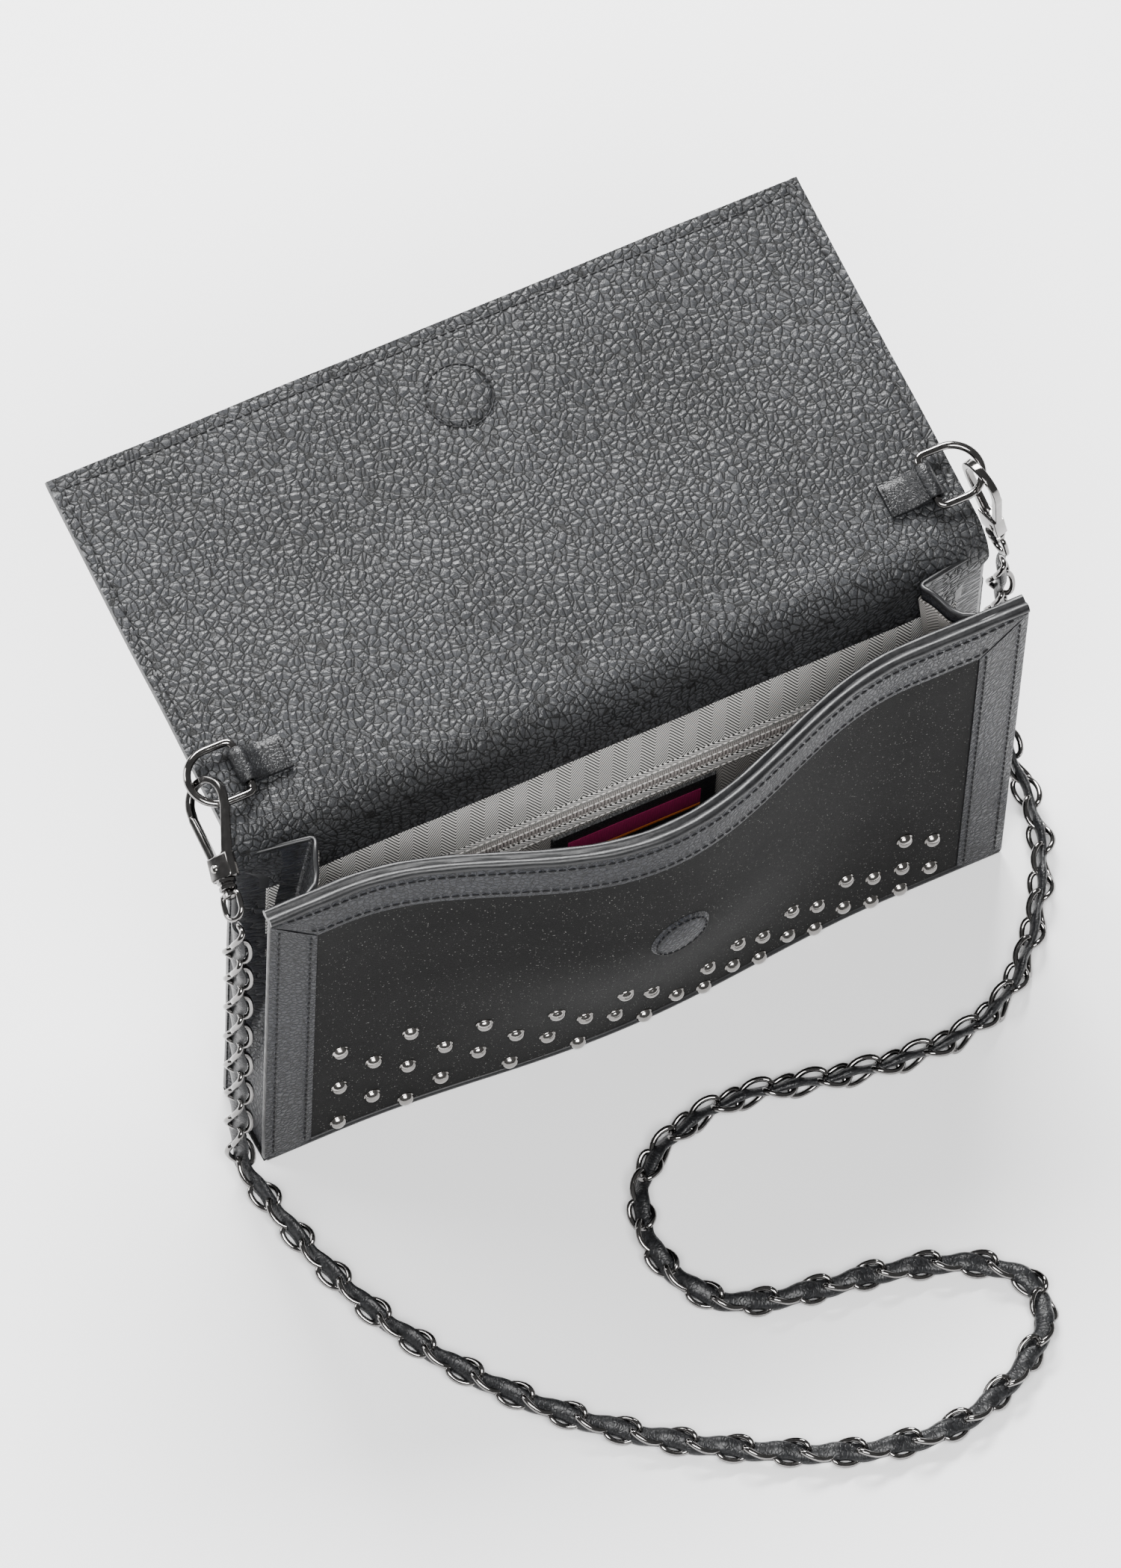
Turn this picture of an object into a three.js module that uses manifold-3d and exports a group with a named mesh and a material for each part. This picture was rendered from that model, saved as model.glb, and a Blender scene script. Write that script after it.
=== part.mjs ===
// Envelope crossbody clutch with a leather-threaded chain strap, flap lying open.
// Millimetres, +Z up, front of the bag at -Y. Origin: middle of the base's underside.
import * as THREE from 'three';
import { mergeVertices } from 'three/addons/utils/BufferGeometryUtils.js';
import Module from 'manifold-3d';

const wasm = await Module();
wasm.setup();

// ---------------------------------------------------------------- driving dimensions
const WIDTH = 280;
const DEPTH = 31;
const FRONT_HEIGHT = 161;
const SEAM_GAP = 0.3;

const FRONT_FACE_Y = -DEPTH / 2;
const BACK_FACE_Y = DEPTH / 2;
const BASE_THICKNESS = 1.8;
const SOFT_START_Z = BASE_THICKNESS + SEAM_GAP;

// The mouth stands open: the front panel bulges forward, most of all in its upper half.
const BULGE_CENTRE_X = -8;
const BULGE_HALF_WIDTH = 105;
const BULGE_AT_BASE = 6.4;
const BULGE_AT_RIM = 27.4;
const BULGE_FULL_HEIGHT = 95;

const SIDE_TRIM = 17.5;
const TOP_TRIM = 20.7;
const BINDING_HEIGHT = 2.4;
const TRIM_TOP_Z = FRONT_HEIGHT - BINDING_HEIGHT - SEAM_GAP;
const PANEL_TOP_Z = FRONT_HEIGHT - TOP_TRIM;
const FRONT_MAGNET_Z = 90;
const MAGNET_RADIUS = 8.5;
const MAGNET_COVER_RADIUS = 11.5;

const GUSSET_TOP_Z = 157.5;
const GUSSET_HALF_DEPTH = 13.2;
const GUSSET_FOLD = 26;

const FACING_BOTTOM_Z = 133.3;
const ZIP_Z = 98.15;
const ZIP_HALF_WIDTH = 4.9;
const ZIP_LEFT_X = -90;
const ZIP_RIGHT_X = 117;

const FLAP_LENGTH = 142;
const FLAP_LEAN = THREE.MathUtils.degToRad(9.4);
const FLAP_HINGE = new THREE.Vector3(0, BACK_FACE_Y - 0.7, 163);
const FRONT_FOLD = 38;
const FOLD_CLEARANCE = 2.6;
const FOLD_RADIUS = 2.1;
const FLAP_LAYERS = { outer: [-1.7, -0.7], core: [-0.45, 0.45], lining: [0.7, 1.7] };
const FLAP_MAGNET_Y = 115;

const TAB_Y = 22.5;
const TAB_WIDTH = 11;
const TAB_LENGTH = 16;
const RING_WIRE = 2.5;
const RING_WIDTH = 22;
const RING_STRAIGHT = 9.5;
const RING_BEND = (RING_WIDTH - RING_WIRE) / 2;
const LOOP_HOLE = RING_WIRE / 2 + 0.8;
const LOOP_OUTER = LOOP_HOLE + 1.05;
const LOOP_Z = FLAP_LAYERS.lining[1] + SEAM_GAP + LOOP_OUTER;
const RING_BAR_X = { left: -125, right: 128.5 };

const CHAIN_RADIUS = 4.5;
const CHAIN_SIDES = 8;

// ---------------------------------------------------------------- materials
function material(color, roughness, metalness = 0) {
  return new THREE.MeshStandardMaterial({ color, roughness, metalness });
}

const blackLeather = material(0x232324, 0.55);
const edgePaint = material(0x111112, 0.3);
const blackSuede = material(0x2a2a2c, 0.95);
const herringbone = material(0xa9a7a4, 0.9);
const pocketCloth = material(0x4b4744, 0.9);
const fibreBoard = material(0x8d7a63, 0.9);
const zipTape = material(0x6d6560, 0.85);
const zipCoil = material(0xb9b4ac, 0.6);
const gunmetal = material(0x4a4a4e, 0.22, 1);
const magnetSteel = material(0x9a9a9c, 0.4, 1);

// ---------------------------------------------------------------- mesh helpers
const bag = new THREE.Group();

function addPart(parent, name, geometry, look) {
  const mesh = new THREE.Mesh(geometry, look);
  mesh.name = name;
  parent.add(mesh);
  return mesh;
}

function signedVolume(points, triangles) {
  let volume = 0;
  for (const [a, b, c] of triangles) {
    volume += points[a].dot(new THREE.Vector3().crossVectors(points[b], points[c])) / 6;
  }
  return volume;
}

function closedGeometry(points, triangles) {
  const outward = signedVolume(points, triangles) > 0;
  const geometry = new THREE.BufferGeometry();
  geometry.setAttribute('position', new THREE.Float32BufferAttribute(points.flatMap((p) => p.toArray()), 3));
  geometry.setIndex(triangles.flatMap(([a, b, c]) => (outward ? [a, b, c] : [a, c, b])));
  return geometry;
}

// A closed sheet between two faces that are given as functions of two station values.
function sheet(us, vs, faceA, faceB) {
  const points = [];
  for (const face of [faceA, faceB]) {
    for (const v of vs) {
      for (const u of us) points.push(new THREE.Vector3(...face(u, v)));
    }
  }
  const columns = us.length;
  const rows = vs.length;
  const at = (side, i, j) => side * columns * rows + j * columns + i;
  const triangles = [];
  const quad = (a, b, c, d) => triangles.push([a, b, c], [a, c, d]);
  for (let j = 0; j < rows - 1; j += 1) {
    for (let i = 0; i < columns - 1; i += 1) {
      quad(at(0, i, j), at(0, i + 1, j), at(0, i + 1, j + 1), at(0, i, j + 1));
      quad(at(1, i, j), at(1, i, j + 1), at(1, i + 1, j + 1), at(1, i + 1, j));
    }
  }
  for (let i = 0; i < columns - 1; i += 1) {
    quad(at(1, i, 0), at(1, i + 1, 0), at(0, i + 1, 0), at(0, i, 0));
    quad(at(0, i, rows - 1), at(0, i + 1, rows - 1), at(1, i + 1, rows - 1), at(1, i, rows - 1));
  }
  for (let j = 0; j < rows - 1; j += 1) {
    quad(at(0, 0, j), at(0, 0, j + 1), at(1, 0, j + 1), at(1, 0, j));
    quad(at(1, columns - 1, j), at(1, columns - 1, j + 1), at(0, columns - 1, j + 1), at(0, columns - 1, j));
  }
  return closedGeometry(points, triangles);
}

function box(x0, x1, y0, y1, z0, z1) {
  const geometry = new THREE.BoxGeometry(x1 - x0, y1 - y0, z1 - z0);
  return geometry.translate((x0 + x1) / 2, (y0 + y1) / 2, (z0 + z1) / 2);
}

function outline(points) {
  return new THREE.Shape(points.map(([x, y]) => new THREE.Vector2(x, y)));
}

function extrude(shape, depth, curveSegments = 8) {
  return new THREE.ExtrudeGeometry(shape, { depth, bevelEnabled: false, curveSegments });
}

function toSolid(geometry) {
  const bare = geometry.clone();
  bare.deleteAttribute('normal');
  bare.deleteAttribute('uv');
  const merged = mergeVertices(bare, 1e-4);
  const vertProperties = new Float32Array(merged.attributes.position.array);
  const triVerts = new Uint32Array(merged.index.array);
  return new wasm.Manifold(new wasm.Mesh({ numProp: 3, vertProperties, triVerts }));
}

function fromSolid(solid) {
  const mesh = solid.getMesh();
  const geometry = new THREE.BufferGeometry();
  geometry.setAttribute('position', new THREE.Float32BufferAttribute(mesh.vertProperties, 3));
  geometry.setIndex([...mesh.triVerts]);
  return geometry;
}

function cut(geometry, ...tools) {
  return fromSolid(tools.reduce((solid, tool) => solid.subtract(toSolid(tool)), toSolid(geometry)));
}

function join(...geometries) {
  return fromSolid(geometries.map(toSolid).reduce((whole, next) => whole.add(next)));
}

function rodAlongX(radius, x0, x1, y, z, sides = 12) {
  const geometry = new THREE.CylinderGeometry(radius, radius, x1 - x0, sides);
  return geometry.rotateZ(Math.PI / 2).translate((x0 + x1) / 2, y, z);
}

function rodAlongZ(radius, z0, z1, x, y, sides = 12) {
  const geometry = new THREE.CylinderGeometry(radius, radius, z1 - z0, sides);
  return geometry.rotateX(Math.PI / 2).translate(x, y, (z0 + z1) / 2);
}

// ---------------------------------------------------------------- the bulging front
function bulge(x, z) {
  const across = (x - BULGE_CENTRE_X) / BULGE_HALF_WIDTH;
  if (Math.abs(across) >= 1) return 0;
  const height = THREE.MathUtils.smoothstep(z, 0, BULGE_FULL_HEIGHT);
  const reach = THREE.MathUtils.lerp(BULGE_AT_BASE, BULGE_AT_RIM, height);
  return reach * Math.cos((across * Math.PI) / 2) ** 2;
}

function frontY(x, z) {
  return FRONT_FACE_Y - bulge(x, z);
}

function frontFace(offset) {
  return (x, z) => [x, frontY(x, z) + offset, z];
}

function frontStationsX(halfWidth) {
  const inner = [-113, -95, -77, -59, -41, -23, -8, 7, 25, 43, 61, 79, 97];
  return [-halfWidth, ...inner, halfWidth];
}

function heights(...ends) {
  const [low, high] = ends;
  const inner = [20, 40, 60, 80, 100, 120, 140].filter((z) => z > low + 4 && z < high - 4);
  return [low, ...inner, high];
}

// The corner of the trims is mitred from the suede's corner to the bag's corner.
function mitreZ(x) {
  const inner = WIDTH / 2 - SIDE_TRIM;
  const along = (Math.abs(x) - inner) / SIDE_TRIM;
  return THREE.MathUtils.lerp(PANEL_TOP_Z, TRIM_TOP_Z, THREE.MathUtils.clamp(along, 0, 1));
}

function addFront() {
  const suedeHalf = WIDTH / 2 - SIDE_TRIM - SEAM_GAP / 2;
  const suede = sheet(
    frontStationsX(suedeHalf), heights(SOFT_START_Z, PANEL_TOP_Z - SEAM_GAP), frontFace(0), frontFace(1.5));
  addPart(bag, 'front_suede_panel', suede, blackSuede);

  const trimHalf = WIDTH / 2 - 1;
  const trimStations = frontStationsX(trimHalf);
  trimStations.splice(1, 0, -suedeHalf);
  trimStations.splice(-1, 0, suedeHalf);
  const trimFace = (offset) => (x, t) => frontFace(offset)(x, THREE.MathUtils.lerp(mitreZ(x), TRIM_TOP_Z, t));
  addPart(bag, 'front_top_trim', sheet(trimStations, [0, 1], trimFace(0), trimFace(1.8)), blackLeather);

  const bindingZ = [FRONT_HEIGHT - BINDING_HEIGHT, FRONT_HEIGHT];
  const binding = sheet(frontStationsX(WIDTH / 2), bindingZ, frontFace(-0.4), frontFace(5.4));
  addPart(bag, 'front_rim_binding', binding, edgePaint);

  for (const [side, sign] of [['left', -1], ['right', 1]]) {
    const stations = [suedeHalf + SEAM_GAP, WIDTH / 2].map((x) => sign * x);
    const face = (offset) => (x, t) => {
      const top = mitreZ(x) - 0.45;
      return frontFace(offset)(x, THREE.MathUtils.lerp(SOFT_START_Z, top, t));
    };
    addPart(bag, `front_side_trim_${side}`, sheet(stations, [0, 1], face(0), face(1.8)), blackLeather);
  }

  const lining = sheet(frontStationsX(118), heights(5, TRIM_TOP_Z), frontFace(4.2), frontFace(5.1));
  addPart(bag, 'front_lining', lining, herringbone);
  addPart(bag, 'front_magnet', frontDisc(MAGNET_RADIUS, 2.6, 3.5), magnetSteel);
  addPart(bag, 'front_magnet_cover', frontDisc(MAGNET_COVER_RADIUS, -1.8, -0.9), blackLeather);
}

function frontDisc(radius, offsetA, offsetB) {
  const disc = new THREE.CylinderGeometry(radius, radius, offsetB - offsetA, 16);
  disc.translate(0, (offsetA + offsetB) / 2, 0);
  const position = disc.attributes.position;
  for (let i = 0; i < position.count; i += 1) {
    const x = position.getX(i);
    const z = FRONT_MAGNET_Z + position.getZ(i);
    position.setXYZ(i, x, position.getY(i) + frontY(x, z), z);
  }
  return disc;
}

// ---------------------------------------------------------------- base
function addBase() {
  const front = frontStationsX(WIDTH / 2).map((x) => [x, frontY(x, 0)]);
  const underside = extrude(outline([...front, [WIDTH / 2, BACK_FACE_Y], [-WIDTH / 2, BACK_FACE_Y]]), BASE_THICKNESS);
  addPart(bag, 'base_panel', underside, blackSuede);
  addPart(bag, 'base_board', box(-134, 134, -11.5, 9.5, 2.1, 3.3), fibreBoard);
  addPart(bag, 'base_lining', box(-133, 133, -11.3, 9.3, 3.6, 4.4), herringbone);
}

// ---------------------------------------------------------------- back wall and its zip pocket
function addBack() {
  const halfWidth = WIDTH / 2;
  addPart(bag, 'back_panel', box(-halfWidth, halfWidth, 13.9, BACK_FACE_Y, SOFT_START_Z, 157.5), blackLeather);
  addPart(bag, 'back_top_binding', box(-halfWidth, halfWidth, 10.4, BACK_FACE_Y, 157.8, 160), edgePaint);
  addPart(bag, 'back_facing', box(-128, 128, 10.4, 11.6, FACING_BOTTOM_Z, 157.5), blackLeather);

  const top = ZIP_Z + ZIP_HALF_WIDTH;
  const bottom = ZIP_Z - ZIP_HALF_WIDTH;
  addPart(bag, 'back_lining_upper', box(-128, 128, 10.4, 11.6, top + SEAM_GAP, FACING_BOTTOM_Z - SEAM_GAP), herringbone);
  addPart(bag, 'back_lining_lower', box(-128, 128, 10.4, 11.6, 5, bottom - SEAM_GAP), herringbone);
  addPart(bag, 'zip_pocket_bag', pocketPouch(), pocketCloth);

  addPart(bag, 'zip_tape_upper', box(ZIP_LEFT_X, ZIP_RIGHT_X, 10.7, 11.5, ZIP_Z + 0.15, top), zipTape);
  addPart(bag, 'zip_tape_lower', box(ZIP_LEFT_X, ZIP_RIGHT_X, 10.7, 11.5, bottom, ZIP_Z - 0.15), zipTape);
  const coilLeft = ZIP_LEFT_X + 3;
  const coilRight = ZIP_RIGHT_X - 3;
  addPart(bag, 'zip_coil_upper', box(coilLeft, coilRight, 9.5, 10.4, ZIP_Z + 0.15, ZIP_Z + 1.6), zipCoil);
  addPart(bag, 'zip_coil_lower', box(coilLeft, coilRight, 9.5, 10.4, ZIP_Z - 1.6, ZIP_Z - 0.15), zipCoil);
  addPart(bag, 'zip_stop_left', box(coilLeft - 2.2, coilLeft - 0.3, 9.3, 10.4, ZIP_Z - 1.8, ZIP_Z + 1.8), gunmetal);
  addPart(bag, 'zip_stop_right', box(coilRight + 0.3, coilRight + 2.2, 9.3, 10.4, ZIP_Z - 1.8, ZIP_Z + 1.8), gunmetal);
  addPart(bag, 'label_patch', labelPatch(), blackLeather);
}

// The pouch is one folded sheet: open at the top, behind the zip.
function pocketPouch() {
  const profile = outline([
    [11.9, 24], [13.6, 24], [13.6, 101], [13.1, 101], [13.1, 24.5], [12.4, 24.5], [12.4, 101], [11.9, 101]]);
  const length = 190;
  const pouch = extrude(profile, length);
  return pouch.rotateX(Math.PI / 2).rotateZ(Math.PI / 2).translate(-80, 0, 0);
}

function labelPatch() {
  const chamfer = 5;
  const patch = outline([
    [-31, -10 + chamfer], [-31 + chamfer, -10], [31 - chamfer, -10], [31, -10 + chamfer],
    [31, 10], [-31, 10]]);
  return extrude(patch, 0.8).rotateX(Math.PI / 2).translate(9, 10.1, 78);
}

// The slider rides the coil from the left stop; its pull hinges on a small post.
const SLIDER_X = -80;
const PULL_PIN = { x: SLIDER_X - 2, y: 6 };
const PULL_LENGTH = 15.5;

function addZipSlider() {
  const { x, y } = PULL_PIN;
  const plate = extrude(outline([[-5, -2.6], [1, -4], [5, -4], [5, 4], [1, 4], [-5, 2.6]]), 1.6);
  plate.rotateX(Math.PI / 2).translate(SLIDER_X, 9.2, ZIP_Z);
  const post = box(x - 1.4, x + 1.4, y - 1, 8, ZIP_Z - 1.5, ZIP_Z + 1.5);
  const pinHole = rodAlongZ(0.8, ZIP_Z - 4, ZIP_Z + 4, x, y, 10);
  addPart(bag, 'zip_slider', cut(join(plate, post), pinHole), gunmetal);

  const tab = box(x - PULL_LENGTH, x + 1.1, y - 0.7, y + 0.7, ZIP_Z - 3.1, ZIP_Z + 3.1);
  const cheekGap = box(x - 2.2, x + 2.2, y - 3, y + 3, ZIP_Z - 1.9, ZIP_Z + 1.9);
  const pin = rodAlongZ(0.45, ZIP_Z - 3.1, ZIP_Z + 3.1, x, y, 8);
  addPart(bag, 'zip_pull', join(cut(tab, cheekGap), pin), gunmetal);
}

// ---------------------------------------------------------------- folded side gussets
function gussetX(y, z) {
  const depth = GUSSET_FOLD * (z / GUSSET_TOP_Z) ** 0.8;
  return WIDTH / 2 - depth * (1 - Math.abs(y) / GUSSET_HALF_DEPTH);
}

function addGussets() {
  const liningYs = [-10, -5, 0, 5, 10];
  const leatherYs = [-GUSSET_HALF_DEPTH, ...liningYs, GUSSET_HALF_DEPTH];
  const liningZs = [5, 30, 70, 115, GUSSET_TOP_Z - 1];
  const leatherZs = [SOFT_START_Z, ...liningZs, GUSSET_TOP_Z];
  for (const [side, sign] of [['left', -1], ['right', 1]]) {
    const face = (inset) => (y, z) => [sign * (gussetX(y, z) - inset), y, z];
    addPart(bag, `gusset_${side}`, sheet(leatherYs, leatherZs, face(0), face(2.4)), blackLeather);
    addPart(bag, `gusset_lining_${side}`, sheet(liningYs, liningZs, face(3.1), face(4.7)), herringbone);
  }
}

// ---------------------------------------------------------------- flap
const flap = new THREE.Group();
flap.position.copy(FLAP_HINGE);
flap.rotation.x = FLAP_LEAN;
bag.add(flap);

function flapLayer(layer, y0, y1) {
  const [z0, z1] = FLAP_LAYERS[layer];
  const inset = layer === 'core' ? 3 : 0;
  return box(-WIDTH / 2 + inset, WIDTH / 2 - inset, y0, y1, z0, z1);
}

function addFlap() {
  const topEnd = FRONT_FOLD - FOLD_CLEARANCE;
  const mainStart = FRONT_FOLD + FOLD_CLEARANCE;
  const halfWidth = WIDTH / 2;
  addPart(flap, 'back_fold', rodAlongX(FOLD_RADIUS, -halfWidth, halfWidth, 0, 0), blackLeather);
  addPart(flap, 'front_fold', rodAlongX(FOLD_RADIUS, -halfWidth, halfWidth, FRONT_FOLD, 0), blackLeather);
  addPart(flap, 'flap_top_outer', flapLayer('outer', FOLD_CLEARANCE, topEnd), blackLeather);
  addPart(flap, 'flap_top_core', flapLayer('core', FOLD_CLEARANCE, topEnd), fibreBoard);
  addPart(flap, 'flap_top_lining', flapLayer('lining', FOLD_CLEARANCE, topEnd), blackLeather);

  addPart(flap, 'flap_outer', flapLayer('outer', mainStart, FLAP_LENGTH), blackLeather);
  const magnetHole = rodAlongZ(MAGNET_RADIUS + 0.4, -2, 2, 0, FLAP_MAGNET_Y, 16);
  addPart(flap, 'flap_core', cut(flapLayer('core', mainStart, FLAP_LENGTH - 3), magnetHole), fibreBoard);
  addPart(flap, 'flap_lining', flapLayer('lining', mainStart, FLAP_LENGTH), blackLeather);
  addPart(flap, 'flap_magnet', rodAlongZ(MAGNET_RADIUS, -0.45, 0.45, 0, FLAP_MAGNET_Y, 16), magnetSteel);
  addPart(flap, 'flap_magnet_cover', rodAlongZ(MAGNET_COVER_RADIUS, 2, 2.8, 0, FLAP_MAGNET_Y, 16), blackLeather);
}

// ---------------------------------------------------------------- ring tabs and D-rings
function tabShape() {
  const shape = new THREE.Shape();
  const thickness = 2.2;
  shape.moveTo(0, -LOOP_OUTER);
  shape.absarc(0, 0, LOOP_OUTER, -Math.PI / 2, Math.PI * 0.9, false);
  shape.lineTo(-4.5, -LOOP_OUTER + thickness);
  shape.lineTo(-TAB_LENGTH, -LOOP_OUTER + thickness);
  shape.lineTo(-TAB_LENGTH, -LOOP_OUTER);
  const hole = new THREE.Path();
  hole.absarc(0, 0, LOOP_HOLE, 0, Math.PI * 2, true);
  shape.holes.push(hole);
  return shape;
}

// A D outline: straight side at x = start, round end about x = RING_STRAIGHT.
function ringShape(start, halfWidth) {
  const shape = new THREE.Shape();
  shape.moveTo(start, -halfWidth);
  shape.lineTo(RING_STRAIGHT, -halfWidth);
  shape.absarc(RING_STRAIGHT, 0, halfWidth, -Math.PI / 2, Math.PI / 2, false);
  shape.lineTo(start, halfWidth);
  return shape;
}

function dRing() {
  const half = RING_WIRE / 2;
  const outer = extrude(ringShape(-half, RING_BEND + half), RING_WIRE, 12).translate(0, 0, -half);
  const inner = extrude(ringShape(half, RING_BEND - half), RING_WIRE * 2, 12).translate(0, 0, -RING_WIRE);
  return cut(outer, inner);
}

function addRings() {
  for (const [side, sign] of [['left', -1], ['right', 1]]) {
    const holder = new THREE.Group();
    holder.position.set(RING_BAR_X[side], TAB_Y, LOOP_Z);
    holder.rotation.z = sign < 0 ? Math.PI : 0;
    flap.add(holder);
    const tab = extrude(tabShape(), TAB_WIDTH, 6).rotateX(Math.PI / 2).translate(0, TAB_WIDTH / 2, 0);
    addPart(holder, `ring_tab_${side}`, tab, blackLeather);
    addPart(holder, `d_ring_${side}`, dRing(), gunmetal);
  }
}

// ---------------------------------------------------------------- trigger hooks
// Hook frame: the ring it holds passes through the origin, +Y to the hook's crown,
// the swivel and its eye at -Y, the gate on the -X side.
const HOOK = {
  hole: 6.5, band: 2.3, thickness: 2.3, ringShift: -0.3,
  plateTop: -19, plateBottom: -27, plateHalf: 4.2, plateThickness: 4.4,
  pivotX: -2, pivotY: -23, collarBottom: -31.5, eyeBottom: -42,
};

function hookRing() {
  const outer = HOOK.hole + HOOK.band;
  const y = HOOK.ringShift;
  const shape = new THREE.Shape();
  shape.moveTo(outer, y);
  shape.absarc(0, y, outer, 0, Math.PI, false);
  shape.lineTo(-outer, y - 2);
  shape.lineTo(-HOOK.hole, y - 2);
  shape.lineTo(-HOOK.hole, y);
  shape.absarc(0, y, HOOK.hole, Math.PI, 0, true);
  shape.lineTo(1.4, HOOK.plateTop - 0.5);
  shape.lineTo(HOOK.plateHalf, HOOK.plateTop - 0.5);
  return extrude(shape, HOOK.thickness, 8).translate(0, 0, -HOOK.thickness / 2);
}

function hookBody() {
  const half = HOOK.plateThickness / 2;
  const plate = box(-HOOK.plateHalf, HOOK.plateHalf, HOOK.plateBottom, HOOK.plateTop, -half, half);
  const collar = new THREE.CylinderGeometry(3.1, 3.1, 4.7, 10);
  collar.translate(0, (HOOK.plateBottom + HOOK.collarBottom) / 2 + 0.1, 0);
  const gateSlot = box(-9, 0.4, HOOK.plateTop - 7, HOOK.plateTop + 1, -1.1, 1.1);
  const rivetHole = rodAlongZ(1.25, -4, 4, HOOK.pivotX, HOOK.pivotY, 10);
  const bore = new THREE.CylinderGeometry(1.8, 1.8, 5, 10).translate(0, HOOK.collarBottom + 2, 0);
  return cut(join(hookRing(), plate, collar), gateSlot, rivetHole, bore);
}

function hookGate() {
  const tipY = HOOK.ringShift - 2.4;
  const lever = outline([
    [-8.6, tipY], [-6.5, tipY], [-1.2, HOOK.plateTop], [-0.5, -24.6], [-3.5, -24.6], [-3.9, HOOK.plateTop]]);
  const solid = extrude(lever, 1.6).translate(0, 0, -0.8);
  return cut(solid, rodAlongZ(1.25, -2, 2, HOOK.pivotX, HOOK.pivotY, 10));
}

function hookEye() {
  const top = HOOK.collarBottom - 0.4;
  const stem = new THREE.CylinderGeometry(1.3, 1.3, 4.4, 10).translate(0, top + 1.6, 0);
  const shape = outline([[-4.6, top], [-4.6, -38], [-2.6, HOOK.eyeBottom], [2.6, HOOK.eyeBottom], [4.6, -38], [4.6, top]]);
  const hole = new THREE.Path([[-2.8, top - 2], [2.8, top - 2], [2.8, -37.6], [1.5, -40], [-1.5, -40], [-2.8, -37.6]]
    .map(([x, y]) => new THREE.Vector2(x, y)));
  shape.holes.push(hole);
  return join(extrude(shape, 2.2).translate(0, 0, -1.1), stem);
}

// Where each hook holds its ring, where its eye points, and the way its flat face looks.
const RING_CORNER = RING_BEND * Math.SQRT1_2;
const HOOK_PLACES = {
  left: { eye: new THREE.Vector3(-149.5, -9, 161.5), face: new THREE.Vector3(-0.76, 0.02, 0.63) },
  right: { eye: new THREE.Vector3(152.5, 23, 128), face: new THREE.Vector3(0.96, 0.2, 0.16) },
};

function ringContact(side) {
  const sign = side === 'left' ? -1 : 1;
  const x = RING_BAR_X[side] + sign * (RING_STRAIGHT + RING_CORNER);
  const local = new THREE.Vector3(x, TAB_Y - RING_CORNER, LOOP_Z);
  return local.applyAxisAngle(new THREE.Vector3(1, 0, 0), FLAP_LEAN).add(FLAP_HINGE);
}

function hookFrame(side) {
  const contact = ringContact(side);
  const { eye, face } = HOOK_PLACES[side];
  const crown = contact.clone().sub(eye).normalize();
  const normal = face.clone().addScaledVector(crown, -face.dot(crown)).normalize();
  const across = new THREE.Vector3().crossVectors(crown, normal);
  return new THREE.Matrix4().makeBasis(across, crown, normal).setPosition(contact);
}

function addHooks() {
  for (const side of ['left', 'right']) {
    const frame = new THREE.Group();
    frame.applyMatrix4(hookFrame(side));
    bag.add(frame);
    addPart(frame, `hook_body_${side}`, hookBody(), gunmetal);
    addPart(frame, `hook_gate_${side}`, hookGate(), gunmetal);
    addPart(frame, `hook_rivet_${side}`, rodAlongZ(0.9, -2.7, 2.7, HOOK.pivotX, HOOK.pivotY, 10), gunmetal);
    addPart(frame, `hook_eye_${side}`, hookEye(), gunmetal);
  }
}

// ---------------------------------------------------------------- chain strap
// The strap hangs from the left hook, curls over the floor in front and climbs behind
// the right side. Its two lengths meet on the floor.
const CHAIN_LEFT_ROUTE = [
  [-149.5, -12, 158], [-150, -12, 145], [-149, -11.5, 120], [-149, -12, 85], [-148.5, -12.5, 50],
  [-148.5, -13, 25], [-148.5, -15, 10], [-147.5, -22, 5], [-145, -40, 5], [-140, -64, 5],
  [-130, -93, 5], [-113, -123, 5], [-89, -152, 5], [-60, -176, 5], [-25, -197, 5],
  [0, -206, 5], [24, -208, 5], [47, -201, 5], [64, -190, 5], [70, -180, 5], [70.2, -176.4, 5],
];
const CHAIN_RIGHT_ROUTE = [
  [70.2, -175.6, 5], [70, -171.6, 5], [65, -163, 5], [50, -153, 5], [27, -146, 5], [3, -142, 5],
  [-18, -137, 5], [-31, -127, 5], [-38, -108, 5], [-35, -89, 5], [-23, -74, 5],
  [-2, -66, 5], [20, -66, 5], [46, -72, 5], [71, -76, 5], [94, -76, 5],
  [114, -69, 5], [131, -54, 5], [144, -37, 5], [153, -20, 5], [157, -2, 6],
  [157, 12, 14], [155.5, 20, 35], [154.5, 23, 65], [153.5, 23.5, 95], [152.8, 23.5, 123.5],
];

function chainTube(route) {
  const curve = new THREE.CatmullRomCurve3(route.map((p) => new THREE.Vector3(...p)));
  const section = new THREE.Shape();
  section.absarc(0, 0, CHAIN_RADIUS, 0, Math.PI * 2, false);
  const steps = Math.round(curve.getLength() / (CHAIN_RADIUS * 4.6));
  const segments = CHAIN_SIDES / 2;
  return new THREE.ExtrudeGeometry(section, { extrudePath: curve, steps, curveSegments: segments, bevelEnabled: false });
}

function addChain() {
  addPart(bag, 'chain_left', chainTube(CHAIN_LEFT_ROUTE), gunmetal);
  addPart(bag, 'chain_right', chainTube(CHAIN_RIGHT_ROUTE), gunmetal);
}

// ---------------------------------------------------------------- assembly
addBase();
addBack();
addZipSlider();
addGussets();
addFront();
addFlap();
addRings();
addHooks();
addChain();

export default bag;
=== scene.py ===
"""Envelope crossbody bag with its flap open: leather, suede, studs, zip and chain strap.

Lengths in the tables and helpers are millimetres; meshes are made in metres, in the CAD frame.
"""

import math

import bmesh
import bpy
import numpy as np
from mathutils import Matrix, Vector


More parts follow.
